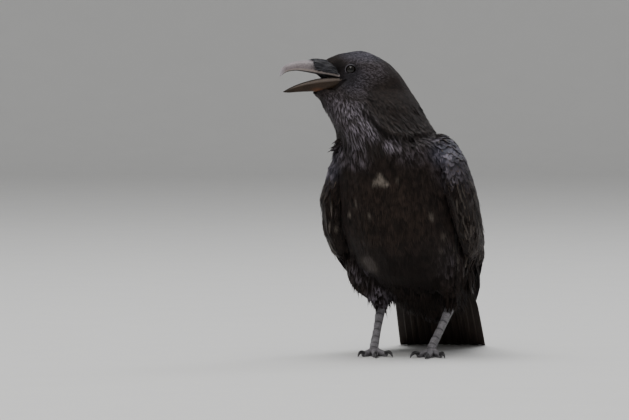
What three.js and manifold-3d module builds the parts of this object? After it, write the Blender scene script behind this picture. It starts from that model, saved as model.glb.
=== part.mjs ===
// A common raven standing upright, its head turned to its right and its bill open, at life size.
// Millimetres, +Z up. The bird's breast faces -Y and its left side is +X. The origin is the middle of
// the bird's own box, at floor level. Solids give the outline of the plumage, out to the feather tips.
import * as THREE from 'three';
import { mergeVertices } from 'three/addons/utils/BufferGeometryUtils.js';
import Module from 'manifold-3d';

const wasm = await Module();
wasm.setup();

// ---------------------------------------------------------------- driving dimensions
const GAP = 0.35; // left between neighbouring pieces
const HEAD_TURN = -67; // degrees, from straight ahead towards the bird's right
const HEAD_AT = [-40, -58, 314]; // midway between the eyes, the origin of the head's own frame
const EYE = { radius: 6.6, out: 16.4, forward: 8.5, up: 0.4 };
const NECK_CUT = { at: [-12, -50, 247], up: [-0.25, -0.1, 1] };
const HEAD_CUT = { at: [-30, -56, 291], up: [-0.75, -0.2, 1] };
const NECK_TAPER = -0.14; // slimmer behind than in front
const TRUNK_WIDE = 70; // half of the breast's width
const TRUNK_DEEP = 59; // half of its depth
const TAIL = {
  root: [14, 60, 87], length: 168, slope: 31, turn: 8.5, wide: [42, 45.5, 47.5, 49], feathers: 12,
};
const WING_SHIFT = { left: [0, 0, 3], right: [3, 0, -3] }; // the right wing is carried closer and lower
const FOOT_UP = 8.5; // height of the joint where the toes meet
// full is how far the thigh's shaggy outer side stands out
const LEGS = {
  left: { hip: [38, 20, 98], ankle: [43, 30, 54], foot: [31, -9, FOOT_UP], turn: 6, full: 3 },
  right: { hip: [-36, 20, 98], ankle: [-37, 30, 50], foot: [-34.5, -9, FOOT_UP], turn: 16, full: 9 },
};
const TARSUS = { wide: 4.2, deep: 4.9 };
const TOE = { radius: 3.7, sole: 0.6 }; // sole is how much of the underside is pressed flat
// spread in degrees (outwards positive), length to the claw, length of the claw
const TOES = {
  middle: { spread: 0, length: 39, claw: 15 },
  inner: { spread: -27, length: 28, claw: 14 },
  outer: { spread: 27, length: 29, claw: 13 },
  hind: { spread: 180, length: 22, claw: 18 },
};

// ---------------------------------------------------------------- colours
const finish = (colour, roughness = 0.62) => () =>
  new THREE.MeshStandardMaterial({ color: colour, roughness, metalness: 0 });
const BODY_BLACK = finish(0x1a1718);
const HEAD_BLACK = finish(0x1c1b20);
const THROAT_GREY = finish(0x26242a);
const WING_BLACK = finish(0x1b1d26, 0.5);
const QUILL_BLACK = finish(0x15151a, 0.48);
const HORN = finish(0x5a4e50, 0.42);
const EYE_DARK = finish(0x0b0807, 0.08);
const SCUTE_GREY = finish(0x4a4b50, 0.6);
const CLAW_BLACK = finish(0x18171a, 0.35);

// ---------------------------------------------------------------- shape helpers
const radians = THREE.MathUtils.degToRad;
const vec = (p) => new THREE.Vector3(...p);
const curve = (points) => new THREE.CatmullRomCurve3(points.map(vec), false, 'centripetal');

/** Smooth value at t of a list spread evenly over 0..1. */
function blend(list, t) {
  return new THREE.SplineCurve(list.map((value) => new THREE.Vector2(value, 0))).getPoint(t).x;
}

/** Unit direction at t of a list of directions spread evenly over 0..1. */
function direction(list, t) {
  const place = t * (list.length - 1);
  const before = Math.max(0, Math.min(Math.floor(place), list.length - 2));
  const after = Math.min(before + 1, list.length - 1);
  return vec(list[before]).lerp(vec(list[after]), place - before).normalize();
}

/** The part of a direction that is square to another. */
function squared(towards, along) {
  return towards.addScaledVector(along, -towards.dot(along)).normalize();
}

/** Rounded section: power 2 is an ellipse, higher is squarer. */
const oval = (power = 2) => (angle) => {
  const bend = (value) => Math.sign(value) * Math.abs(value) ** (2 / power);
  return [bend(Math.cos(angle)), bend(Math.sin(angle))];
};

/** Egg-shaped section, narrower on one side where the taper is not nought. */
const egg = (taper) => (angle) => [Math.cos(angle) * (1 - taper * Math.sin(angle)), Math.sin(angle)];

/** Section of each half of the bill, with a domed back and a nearly flat biting side. */
const BACK_FULLNESS = 0.85;
const BITE_FLATNESS = 0.12;
const dome = (angle) => {
  const rise = Math.sin(angle);
  return [Math.cos(angle), rise > 0 ? rise ** BACK_FULLNESS : rise * BITE_FLATNESS];
};

function signedVolume(position, index) {
  const [a, b, c] = [new THREE.Vector3(), new THREE.Vector3(), new THREE.Vector3()];
  let total = 0;
  for (let i = 0; i < index.length; i += 3) {
    a.fromArray(position, 3 * index[i]);
    b.fromArray(position, 3 * index[i + 1]);
    c.fromArray(position, 3 * index[i + 2]);
    total += a.dot(b.cross(c)) / 6;
  }
  return total;
}

/** Indexed geometry with its faces pointing out. */
function closed(position, index) {
  const outward = signedVolume(position, index) > 0;
  const faces = outward ? index : index.map((_, i) => index[i - (i % 3) + [0, 2, 1][i % 3]]);
  const geometry = new THREE.BufferGeometry();
  geometry.setAttribute('position', new THREE.Float32BufferAttribute(position, 3));
  geometry.setIndex(faces);
  return geometry;
}

/** Body swept through stations, each [x, y, z, half width, half depth], drawn in to a point at both ends.
 * round gives each end's share of the length, side is where the width points, and facing, where given,
 * turns the sections square to a direction of its own in place of the line's. */
function loft({ stations, side = [[1, 0, 0]], facing, rings = 12, around = 20, section = oval(),
  round = [0.2, 0.2], grow = 0 }) {
  const path = curve(stations.map((station) => station.slice(0, 3)));
  const wide = stations.map((station) => station[3]);
  const deep = stations.map((station) => station[4]);
  const position = [];
  const index = [];
  for (let i = 0; i <= rings; i += 1) {
    const t = (1 - Math.cos((Math.PI * i) / rings)) / 2;
    const centre = path.getPoint(t);
    const along = facing ? direction(facing, t) : path.getTangent(t);
    const across = squared(direction(side, t), along);
    const up = along.clone().cross(across);
    if (i === 0 || i === rings) {
      position.push(...centre.addScaledVector(along, i === 0 ? -grow : grow));
      continue;
    }
    const start = Math.min(1, t / round[0]);
    const end = Math.min(1, (1 - t) / round[1]);
    const full = Math.sqrt(1 - (1 - start) ** 2) * Math.sqrt(1 - (1 - end) ** 2);
    for (let j = 0; j < around; j += 1) {
      const [x, y] = section((2 * Math.PI * j) / around);
      const point = centre.clone();
      point.addScaledVector(across, x * (blend(wide, t) * full + grow));
      point.addScaledVector(up, y * (blend(deep, t) * full + grow));
      position.push(...point);
    }
  }
  const last = position.length / 3 - 1;
  const ring = (i, j) => 1 + (i - 1) * around + (j % around);
  for (let j = 0; j < around; j += 1) {
    index.push(0, ring(1, j + 1), ring(1, j), last, ring(rings - 1, j), ring(rings - 1, j + 1));
    for (let i = 1; i < rings - 1; i += 1) {
      index.push(ring(i, j), ring(i, j + 1), ring(i + 1, j + 1));
      index.push(ring(i, j), ring(i + 1, j + 1), ring(i + 1, j));
    }
  }
  return closed(position, index);
}

/** Overlapping feathers as one closed sheet: each is a low step across it, with a round tip of its own.
 * reach gives how far down the line each place across it comes. */
const FEATHER = { columns: 2, rows: 5, step: 0.8, tip: 0.03 };
function fan({ spine, across, wide, thick, feathers, camber, reach, grow = 0 }) {
  const path = curve(spine);
  const { rows } = FEATHER;
  const columns = feathers * FEATHER.columns;
  const position = [];
  const index = [];
  for (const face of [1, -1]) {
    for (let i = 0; i <= rows; i += 1) {
      for (let j = 0; j <= columns; j += 1) {
        const w = (2 * j) / columns - 1;
        const edge = j % FEATHER.columns === 0;
        const t = (i / rows) * (reach(w) - (edge ? FEATHER.tip : 0));
        const along = path.getTangent(t);
        const over = squared(direction(across, t), along);
        const up = along.clone().cross(over);
        const point = path.getPoint(t).addScaledVector(over, w * (blend(wide, t) + grow));
        const lift = camber * (1 - w * w) + (edge ? 0 : FEATHER.step);
        point.addScaledVector(up, lift + face * (blend(thick, t) / 2 + grow));
        point.addScaledVector(along, { 0: -grow, [rows]: grow }[i] ?? 0);
        position.push(...point);
      }
    }
  }
  const at = (face, i, j) => (face * (rows + 1) + i) * (columns + 1) + j;
  const quad = (a, b, c, d) => index.push(a, b, c, a, c, d);
  for (let i = 0; i < rows; i += 1) {
    for (let j = 0; j < columns; j += 1) {
      quad(at(0, i, j), at(0, i + 1, j), at(0, i + 1, j + 1), at(0, i, j + 1));
      quad(at(1, i, j), at(1, i, j + 1), at(1, i + 1, j + 1), at(1, i + 1, j));
    }
    quad(at(0, i, 0), at(1, i, 0), at(1, i + 1, 0), at(0, i + 1, 0));
    quad(at(0, i, columns), at(0, i + 1, columns), at(1, i + 1, columns), at(1, i, columns));
  }
  for (let j = 0; j < columns; j += 1) {
    quad(at(0, 0, j), at(0, 0, j + 1), at(1, 0, j + 1), at(1, 0, j));
    quad(at(0, rows, j), at(1, rows, j), at(1, rows, j + 1), at(0, rows, j + 1));
  }
  return closed(position, index);
}

// ---------------------------------------------------------------- solids
function solid(geometry, matrix = new THREE.Matrix4()) {
  const bare = geometry.clone().applyMatrix4(matrix);
  bare.deleteAttribute('normal');
  bare.deleteAttribute('uv');
  const merged = mergeVertices(bare, 1e-4);
  const vertProperties = new Float32Array(merged.attributes.position.array);
  const triVerts = new Uint32Array(merged.index.array);
  return new wasm.Manifold(new wasm.Mesh({ numProp: 3, vertProperties, triVerts }));
}

function geometryOf(body) {
  const mesh = body.getMesh();
  const geometry = new THREE.BufferGeometry();
  geometry.setAttribute('position', new THREE.Float32BufferAttribute(mesh.vertProperties, 3));
  geometry.setIndex(Array.from(mesh.triVerts));
  return geometry;
}

/** The largest of the bodies that a cut leaves. */
function largest(body) {
  return body.decompose().sort((a, b) => b.volume() - a.volume())[0];
}

const without = (body, ...others) => largest(others.reduce((rest, other) => rest.subtract(other), body));

/** A big block whose face passes through a point, on the side that the direction points to. */
const BLOCK = 900;
function halfSpace(point, towards, inset = 0) {
  const out = vec(towards).normalize();
  const turn = new THREE.Quaternion().setFromUnitVectors(new THREE.Vector3(0, 0, 1), out);
  const centre = vec(point).addScaledVector(out, BLOCK / 2 + inset);
  const place = new THREE.Matrix4().compose(centre, turn, new THREE.Vector3(1, 1, 1));
  return solid(new THREE.BoxGeometry(BLOCK, BLOCK, BLOCK), place);
}

const mirrored = new THREE.Matrix4().makeScale(-1, 1, 1);
function mirrorGeometry(geometry) {
  const copy = geometry.clone().applyMatrix4(mirrored);
  return closed(Array.from(copy.attributes.position.array), Array.from(copy.index.array));
}

const bird = new THREE.Group();
function add(name, geometry, material, parent = bird) {
  geometry.computeVertexNormals();
  const mesh = new THREE.Mesh(geometry, material());
  mesh.name = name;
  parent.add(mesh);
  return mesh;
}

// ---------------------------------------------------------------- head frame
const headGroup = new THREE.Group();
headGroup.position.set(...HEAD_AT);
headGroup.rotation.z = radians(HEAD_TURN);
headGroup.updateMatrixWorld(true);
bird.add(headGroup);
const headPlace = headGroup.matrixWorld;
const headSide = vec([1, 0, 0]).transformDirection(headPlace).toArray();

// ---------------------------------------------------------------- flesh
const trunkShape = (grow = 0) => loft({
  stations: [
    [0, 94, 72, 16, 10], // vent
    [0, 66, 84, 40, 29],
    [0, 32, 106, 61, 48], // belly
    [-1, -2, 142, TRUNK_WIDE, TRUNK_DEEP],
    [-3, -28, 178, TRUNK_WIDE, TRUNK_DEEP - 3], // breast
    [-5, -41, 210, 67, 54],
    [-7, -45, 234, 60, 52.5], // shoulders
    [-12, -48, 258, 43, 46],
  ],
  facing: [[0, -0.86, 0.5], [0, -0.8, 0.6], [0, -0.7, 0.7], [0, -0.65, 0.76], [0, -0.5, 0.87],
    [0, -0.2, 0.98], [0, 0, 1], [0, 0, 1]],
  rings: 12,
  around: 22,
  round: [0.1, 0.16],
  grow,
});

const neckShape = (grow = 0) => loft({
  stations: [
    [-4, -40, 196, 52, 46],
    [-6, -43, 218, 58, 51],
    [-12, -47, 240, 55, 55], // foot of the throat feathers
    [-19, -51, 258, 46, 54.5],
    [-26, -55, 275, 37, 53],
    [-34, -57, 292, 29, 50], // throat and nape
    [-32, -57, 308, 25.5, 37.5],
    [-36, -58, 322, 22, 28],
    [-39, -59, 334.5, 15, 17], // crown
  ],
  side: [[1, 0, 0], [1, 0, 0], [0.95, -0.2, 0], [0.75, -0.6, 0], ...Array(5).fill(headSide)],
  facing: [[0, 0, 1]],
  section: egg(NECK_TAPER),
  rings: 12,
  around: 20,
  round: [0.08, 0.15],
  grow,
});

const faceShape = (grow = 0) => loft({
  stations: [
    [0, 14, -4, 22, 20],
    [0, 2, -3, 22.5, 22.5],
    [0, -11, -3.5, 19.5, 22.5], // at the eyes
    [0, -24, -6, 14.5, 21],
    [0, -38, -7.5, 10, 17.5], // at the root of the bill
  ],
  rings: 7,
  around: 14,
  round: [0.2, 0.06],
  grow,
});

const chinShape = () => loft({
  stations: [[0, -20, -24, 14, 12], [0, -40, -24.5, 9, 7.5], [0, -52, -21.5, 4, 2.5]],
  rings: 6,
  around: 12,
  round: [0.2, 0.3],
});

/** Feathers over the root of the tail, above and below. */
const rumpShape = (grow = 0) => loft({
  stations: [[0, 44, 96, 48, 36], [1, 78, 76, 47, 25], [1, 106, 57, 39, 15], [0, 138, 39, 25, 5.5]],
  rings: 7,
  around: 16,
  round: [0.15, 0.2],
  grow,
});

/** Feathered upper leg: hand is 1 on the left and -1 on the right. */
const thighShape = ({ hip, ankle, full }, hand, grow = 0) => loft({
  stations: [
    [hip[0] + hand * 12, hip[1] - 12, hip[2] + 44, 18, 20],
    [hip[0] + hand * (8 + full / 2), hip[1] - 6, hip[2] + 16, 23 + full / 2, 30],
    [hip[0] + hand * (2 + full / 2), hip[1] + 1, hip[2] - 12, 19 + full / 2, 25],
    [ankle[0], ankle[1] - 3, ankle[2] + 16, 10.5, 13],
    [ankle[0], ankle[1], ankle[2] - 3, 6, 6.5],
  ],
  rings: 9,
  around: 12,
  round: [0.25, 0.05],
  grow,
});

// ---------------------------------------------------------------- bill, in the head's frame
const upperBillShape = (grow = 0) => loft({
  stations: [
    [0, -19, -8.6, 16.6, 3], // corner of the mouth
    [0, -31, -5.6, 13, 12],
    [0, -44, -3.4, 9.6, 14.4], // nostrils
    [0, -58, -0.4, 7.8, 11.2],
    [0, -70, 1, 6, 8.6],
    [0, -80, -0.8, 4, 5.6],
    [0, -86, -4.4, 1.6, 2], // hooked tip
  ],
  section: dome,
  rings: 10,
  around: 12,
  round: [0.03, 0.1],
  grow,
});

const lowerBillShape = (grow = 0) => loft({
  stations: [
    [0, -18, -9.6, 16.4, 3.5], // corner of the mouth
    [0, -28, -10.1, 13.4, 8.5],
    [0, -40, -11.2, 9.8, 12],
    [0, -54, -13.6, 7.4, 9.8],
    [0, -68, -17.6, 5.2, 6.8],
    [0, -83, -23.8, 2, 1.8],
  ],
  side: [[-1, 0, 0]],
  section: dome,
  rings: 8,
  around: 12,
  round: [0.03, 0.1],
  grow,
});

/** Stiff feathers that lie forward over the root of the upper bill. */
const bristleShape = () => loft({
  stations: [[0, -30, 3, 13, 12], [0, -43, 3.4, 11.6, 9], [0, -57, 2.4, 8, 4.6]],
  rings: 6,
  around: 12,
  round: [0.2, 0.3],
});

const eyeShape = (grow = 0) => new THREE.SphereGeometry(EYE.radius + grow, 12, 8);

// ---------------------------------------------------------------- wings, the left one
const covertShape = (grow = 0) => loft({
  stations: [
    [42, -30, 238, 18, 9], // shoulder
    [57, -38, 215, 30, 14],
    [66, -34, 186, 36, 15],
    [69, -14, 156, 36, 14.5],
    [69, 10, 130, 29, 11],
    [63, 30, 111, 13, 5],
  ],
  side: [[-0.45, 0.8, 0.4], [-0.3, 0.85, 0.5], [-0.2, 0.8, 0.6]],
  section: oval(2.3),
  rings: 9,
  around: 14,
  round: [0.12, 0.12],
  grow,
});

const secondaryShape = (grow = 0) => fan({
  spine: [[58, -24, 184], [67, 2, 150], [62, 38, 122], [46, 76, 99], [28, 112, 76]],
  across: [[-0.15, 0.75, 0.6], [-0.4, 0.65, 0.7], [-0.7, 0.4, 0.6]],
  wide: [30, 34, 33, 28, 18],
  thick: [16, 16, 14, 10, 4],
  feathers: 7,
  camber: 8,
  reach: (w) => Math.min(1, 0.95 + 0.2 * w),
  grow,
});

const primaryShape = (grow = 0) => fan({
  spine: [[67, 8, 122], [65, 42, 94], [52, 82, 75], [42, 120, 64], [31, 156, 55]],
  across: [[-0.3, 0.3, 1], [-0.45, 0.3, 1], [-0.6, 0.2, 0.8]],
  wide: [15, 19, 19, 14, 8],
  thick: [9, 8, 6, 4, 2.2],
  feathers: 5,
  camber: 3,
  reach: (w) => 1 - 0.1 * Math.abs(w),
  grow,
});

// ---------------------------------------------------------------- tail
function tailLine(share, drop = 0) {
  const [x, y, z] = TAIL.root;
  const level = TAIL.length * share * Math.cos(radians(TAIL.slope));
  const down = TAIL.length * share * Math.sin(radians(TAIL.slope));
  const turn = radians(TAIL.turn);
  return [x - Math.sin(turn) * level, y + Math.cos(turn) * level, z - down - drop];
}

const tailShape = (grow = 0) => fan({
  spine: [tailLine(0), tailLine(0.33), tailLine(0.67, 1), tailLine(1)],
  across: [[1, 0, 0]],
  wide: TAIL.wide,
  thick: [12, 8, 5, 2.6],
  feathers: TAIL.feathers,
  camber: 5,
  reach: (w) => 1 - 0.1 * Math.abs(w) ** 1.6,
  grow,
});

// ---------------------------------------------------------------- feet, in each foot's own frame
const toeShape = ({ length }, grow = 0) => {
  const low = TOE.radius - TOE.sole;
  const station = (share, height, slimmer) =>
    [0, -length * share, height, TOE.radius - slimmer, TOE.radius - slimmer];
  return loft({
    stations: [station(-0.05, FOOT_UP - 2, -0.8), station(0.3, low + 1, 0), station(0.65, low, 0.3),
      station(1, low - 0.4, 0.8)],
    rings: 6,
    around: 8,
    round: [0.1, 0.12],
    grow,
  });
};

const clawShape = ({ length, claw }) => loft({
  stations: [
    [0, 3 - length, 3.6, 2.4, 3], // inside the toe
    [0, -length - claw * 0.4, 5, 2.1, 2.5],
    [0, -length - claw * 0.8, 3.2, 1.4, 1.6],
    [0, -length - claw, 0.4, 0.5, 0.5], // tip, just above the floor
  ],
  rings: 5,
  around: 6,
  round: [0.08, 0.08],
});

const tarsusShape = ({ ankle, foot }, grow = 0) => loft({
  stations: [
    [ankle[0], ankle[1] + 1, ankle[2] + 2, TARSUS.wide + 0.9, TARSUS.deep + 0.9],
    [...ankle.map((value, i) => (value + foot[i]) / 2), TARSUS.wide, TARSUS.deep],
    [...foot, TARSUS.wide + 0.6, TARSUS.deep],
  ],
  rings: 6,
  around: 10,
  round: [0.06, 0.06],
  grow,
});

// ---------------------------------------------------------------- parting the flesh
const onHead = (geometry) => solid(geometry, headPlace);
const eyePlace = (hand) => new THREE.Matrix4().makeTranslation(hand * EYE.out, -EYE.forward, EYE.up);
const eyeSolid = (hand, grow) => solid(eyeShape(grow), headPlace.clone().multiply(eyePlace(hand)));
const bills = [onHead(upperBillShape(GAP)), onHead(lowerBillShape(GAP))];
const trunkGrown = solid(trunkShape(GAP));
const neckGrown = solid(neckShape(GAP));
const rumpGrown = solid(rumpShape(GAP));
const floor = halfSpace([0, 0, 0], [0, 0, 1]);
const above = ({ at, up }) => halfSpace(at, up, GAP / 2);
const below = ({ at, up }) => halfSpace(at, up.map((value) => -value), GAP / 2);
const body = solid(trunkShape()).add(solid(neckShape())).add(onHead(faceShape())).add(onHead(chinShape()));

const trunk = largest(body.intersect(below(NECK_CUT)));
const neck = largest(body.intersect(above(NECK_CUT)).intersect(below(HEAD_CUT)));
const head = without(body.intersect(above(HEAD_CUT)), ...bills, eyeSolid(1, GAP), eyeSolid(-1, GAP));
add('trunk', geometryOf(trunk), BODY_BLACK);
add('neck', geometryOf(neck), THROAT_GREY);
add('head', geometryOf(head), HEAD_BLACK);

// ---------------------------------------------------------------- bill and eyes
add('upper_bill', upperBillShape(), HORN, headGroup);
add('lower_bill', lowerBillShape(), HORN, headGroup);
const bristles = without(solid(bristleShape()), solid(upperBillShape(GAP)), solid(faceShape(GAP)));
add('nasal_bristles', geometryOf(bristles), HEAD_BLACK, headGroup);
for (const [name, hand] of [['left', 1], ['right', -1]]) {
  add(`${name}_eye`, eyeShape(), EYE_DARK, headGroup).applyMatrix4(eyePlace(hand));
}

// ---------------------------------------------------------------- rump, tail, wings
const rump = without(solid(rumpShape()), trunkGrown);
const tail = without(solid(tailShape()).intersect(floor), trunkGrown, rumpGrown);
add('rump', geometryOf(rump), BODY_BLACK);
add('tail', geometryOf(tail), QUILL_BLACK);

for (const [name, hand] of [['left', 1], ['right', -1]]) {
  const carried = new THREE.Matrix4().makeTranslation(...WING_SHIFT[name]);
  const own = (geometry) => solid(hand > 0 ? geometry : mirrorGeometry(geometry), carried);
  const thighGrown = solid(thighShape(LEGS[name], hand, GAP));
  const flesh = [trunkGrown, neckGrown, rumpGrown, thighGrown, solid(tailShape(GAP))];
  const coverts = without(own(covertShape()), ...flesh);
  const secondaries = without(own(secondaryShape()), ...flesh, own(covertShape(GAP)));
  const primaries = without(own(primaryShape()), ...flesh, own(covertShape(GAP)), own(secondaryShape(GAP)));
  add(`${name}_wing_coverts`, geometryOf(coverts), WING_BLACK);
  add(`${name}_wing_secondaries`, geometryOf(secondaries), QUILL_BLACK);
  add(`${name}_wing_primaries`, geometryOf(primaries), QUILL_BLACK);
}

// ---------------------------------------------------------------- legs
for (const [name, leg] of Object.entries(LEGS)) {
  const hand = name === 'left' ? 1 : -1;
  const thigh = without(solid(thighShape(leg, hand)), trunkGrown, rumpGrown, solid(tarsusShape(leg, GAP)));
  add(`${name}_thigh`, geometryOf(thigh), BODY_BLACK);
  add(`${name}_tarsus`, tarsusShape(leg), SCUTE_GREY);

  const footGroup = new THREE.Group();
  footGroup.position.set(leg.foot[0], leg.foot[1], 0);
  footGroup.rotation.z = radians(leg.turn);
  footGroup.updateMatrixWorld(true);
  bird.add(footGroup);
  const tarsusHere = solid(tarsusShape(leg, GAP), footGroup.matrixWorld.clone().invert());
  const turned = (toe) => new THREE.Matrix4().makeRotationZ(radians(hand * toe.spread));
  const toes = Object.values(TOES).map((toe) => solid(toeShape(toe), turned(toe)));
  const foot = without(toes.reduce((all, toe) => all.add(toe)).intersect(floor), tarsusHere);
  add(`${name}_foot`, geometryOf(foot), SCUTE_GREY, footGroup);
  for (const [toeName, toe] of Object.entries(TOES)) {
    const claw = without(solid(clawShape(toe)).intersect(floor), solid(toeShape(toe, GAP)));
    add(`${name}_${toeName}_claw`, geometryOf(claw), CLAW_BLACK, footGroup).applyMatrix4(turned(toe));
  }
}

const box = new THREE.Box3().setFromObject(bird, true);
bird.position.set(-(box.min.x + box.max.x) / 2, -(box.min.y + box.max.y) / 2, -box.min.z);

export default bird;
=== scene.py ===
"""A raven standing with folded wings, its head turned to its right and its bill open.

Lengths in the tables are millimetres in the bird's own axes: breast towards -Y, left side +X, up +Z.
The head has axes of its own, midway between the eyes, with the bill towards -Y.
"""

import math

import bmesh
import bpy
import numpy as np
from mathutils import Matrix, Vector
from mathutils.bvhtree import BVHTree
from mathutils.kdtree import KDTree


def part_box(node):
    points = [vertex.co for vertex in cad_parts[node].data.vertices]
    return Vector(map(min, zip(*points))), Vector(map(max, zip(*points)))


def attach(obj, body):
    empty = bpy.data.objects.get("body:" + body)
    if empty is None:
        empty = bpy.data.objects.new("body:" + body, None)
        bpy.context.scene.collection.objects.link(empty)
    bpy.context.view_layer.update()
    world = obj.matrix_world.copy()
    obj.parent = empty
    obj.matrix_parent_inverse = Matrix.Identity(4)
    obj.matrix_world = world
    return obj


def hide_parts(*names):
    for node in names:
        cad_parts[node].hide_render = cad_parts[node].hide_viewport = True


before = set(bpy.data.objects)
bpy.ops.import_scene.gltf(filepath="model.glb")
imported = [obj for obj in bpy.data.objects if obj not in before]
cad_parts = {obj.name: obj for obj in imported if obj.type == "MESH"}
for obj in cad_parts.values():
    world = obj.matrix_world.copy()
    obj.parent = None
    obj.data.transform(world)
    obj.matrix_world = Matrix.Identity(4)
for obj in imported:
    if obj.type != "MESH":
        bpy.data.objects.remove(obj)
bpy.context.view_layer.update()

bl_info = {
    "name": "Standing raven",
    "version": (1, 0, 0),
    "blender": (4, 5, 0),
    "location": "3D View > Sidebar > Raven",
    "description": "Skin, coat of feathers, wings, tail, bill, eyes, legs and stage of a standing raven",
    "category": "Object",
}

MM = 0.001
HEAD_TURN = math.radians(-67)
HEAD_AT = np.array([-40.0, -58.0, 314.0])
EYE_AT = {"left": np.array([16.4, -8.5, 0.4]), "right": np.array([-16.4, -8.5, 0.4])}
WING_SHIFT = {"left": (0, 0, 3), "right": (3, 0, -3)}
EYE_SEAT = (0, -2.0, 0.5)  # how far the eyes of the looks sit from the solids' eyes, in the head's axes
EYE_TURN = math.radians(12)  # how far they face forward of straight out to the side
FLESH = ("trunk", "neck", "head", "rump", "left_thigh", "right_thigh", "left_wing_coverts",
         "right_wing_coverts")
made = {}  # what one operator leaves for the next


# ---------------------------------------- places
def middle(node):
    """The middle of a CAD node's box."""
    low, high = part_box(node)
    return (np.array(low) + np.array(high)) / 2


def turn_head(v):
    """Directions or offsets from the head's axes to the bird's."""
    v = np.asarray(v, float)
    c, s = math.cos(HEAD_TURN), math.sin(HEAD_TURN)
    return np.stack([v[..., 0] * c - v[..., 1] * s, v[..., 0] * s + v[..., 1] * c, v[..., 2]], -1)


BETWEEN_EYES = turn_head((EYE_AT["left"] + EYE_AT["right"]) / 2) + HEAD_AT
STANDS_AT = (middle("left_eye") + middle("right_eye")) / 2 - BETWEEN_EYES * MM


def unit(v):
    v = np.asarray(v, float)
    return v / np.maximum(np.linalg.norm(v, axis=-1, keepdims=True), 1e-12)


def place(points, head=False):
    """Millimetres in the bird's axes, or the head's, to metres in the frame."""
    points = np.asarray(points, float)
    if head:
        points = turn_head(points) + HEAD_AT
    return points * MM + STANDS_AT


def height_of(at):
    """Heights over the floor, in millimetres."""
    return (at[:, 2] - STANDS_AT[2]) / MM


def smoothstep(value, low, high):
    t = np.clip((value - low) / (high - low), 0, 1)
    return t * t * (3 - 2 * t)


def spline(points, at):
    """Smooth curve through evenly timed points (any width), sampled at 0..1."""
    points = np.asarray(points, float)
    at = np.clip(np.asarray(at, float), 0, 1) * (len(points) - 1)
    i = np.clip(at.astype(int), 0, len(points) - 2)
    f = (at - i)[..., None]
    ends = np.concatenate([2 * points[:1] - points[1:2], points, 2 * points[-1:] - points[-2:-1]])
    a, b, c, d = (ends[i + k] for k in range(4))
    return 0.5 * (2 * b + (c - a) * f + (2 * a - 5 * b + 4 * c - d) * f**2 + (3 * b - a - 3 * c + d) * f**3)


# ---------------------------------------- meshes
def mesh_piece(name, points, faces, materials, uv=None, marks=None, which=None):
    """A smooth mesh object from arrays. faces is a list of index arrays, one per polygon size."""
    mesh = bpy.data.meshes.new(name)
    sizes = np.concatenate([np.full(len(f), f.shape[1]) for f in faces if len(f)])
    corners = np.concatenate([f.ravel() for f in faces if len(f)])
    mesh.vertices.add(len(points))
    mesh.vertices.foreach_set("co", np.asarray(points, np.float32).ravel())
    mesh.loops.add(len(corners))
    mesh.loops.foreach_set("vertex_index", corners.astype(np.int32))
    mesh.polygons.add(len(sizes))
    mesh.polygons.foreach_set("loop_start", (np.cumsum(sizes) - sizes).astype(np.int32))
    mesh.polygons.foreach_set("use_smooth", np.ones(len(sizes), bool))
    if which is not None:
        mesh.polygons.foreach_set("material_index", np.asarray(which, np.int32))
    mesh.update(calc_edges=True)
    if uv is not None:
        layer = mesh.uv_layers.new(name="OFBake")
        layer.data.foreach_set("uv", np.asarray(uv, np.float32)[corners].ravel())
    for key, values in (marks or {}).items():
        layer = mesh.attributes.new(key, "FLOAT_COLOR", "POINT")
        layer.data.foreach_set("color", np.asarray(values, np.float32).ravel())
    for material in materials:
        mesh.materials.append(material)
    piece = bpy.data.objects.new(name, mesh)
    bpy.context.scene.collection.objects.link(piece)
    return piece


def settle_piece(piece, slot, *nodes):
    """Fixes a piece to the bird's one body, in place of the CAD nodes that it stands for."""
    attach(piece, "root")
    if nodes:
        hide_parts(*nodes)
    return piece


def grid_faces(rows, columns, wrap=False):
    """Quads of a sheet of rows x columns points, closed across if wrap."""
    r = np.arange(rows - 1)[:, None]
    c = np.arange(columns if wrap else columns - 1)[None, :]
    nxt = (c + 1) % columns
    quads = np.stack([r * columns + c, (r + 1) * columns + c, (r + 1) * columns + nxt, r * columns + nxt], -1)
    return quads.reshape(-1, 4)


def ring_loft(centres, sides, ups, section):
    """Points of a tube of rings. section is rings x around x 2, in the sides and ups of each ring."""
    return centres[:, None] + section[..., :1] * sides[:, None] + section[..., 1:] * ups[:, None]


def capped(rows, columns):
    """Quads of a tube plus fans of triangles at its two ends."""
    first = np.arange(columns)
    last = first + (rows - 1) * columns
    ends = []
    for k in range(1, columns - 1):
        ends.append((first[0], first[k], first[k + 1]))
        ends.append((last[0], last[k + 1], last[k]))
    return [grid_faces(rows, columns, True), np.array(ends)]


def tree_of(points, faces):
    """Looks up the nearest place on a mesh."""
    return BVHTree.FromPolygons(points.tolist(), faces.tolist())


def read(rows, key, width, kind=np.float32):
    """One property of a mesh's vertices, corners or triangles, as an array so many wide."""
    values = np.empty(len(rows) * width, kind)
    rows.foreach_get(key, values)
    return values.reshape(-1, width)


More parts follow.
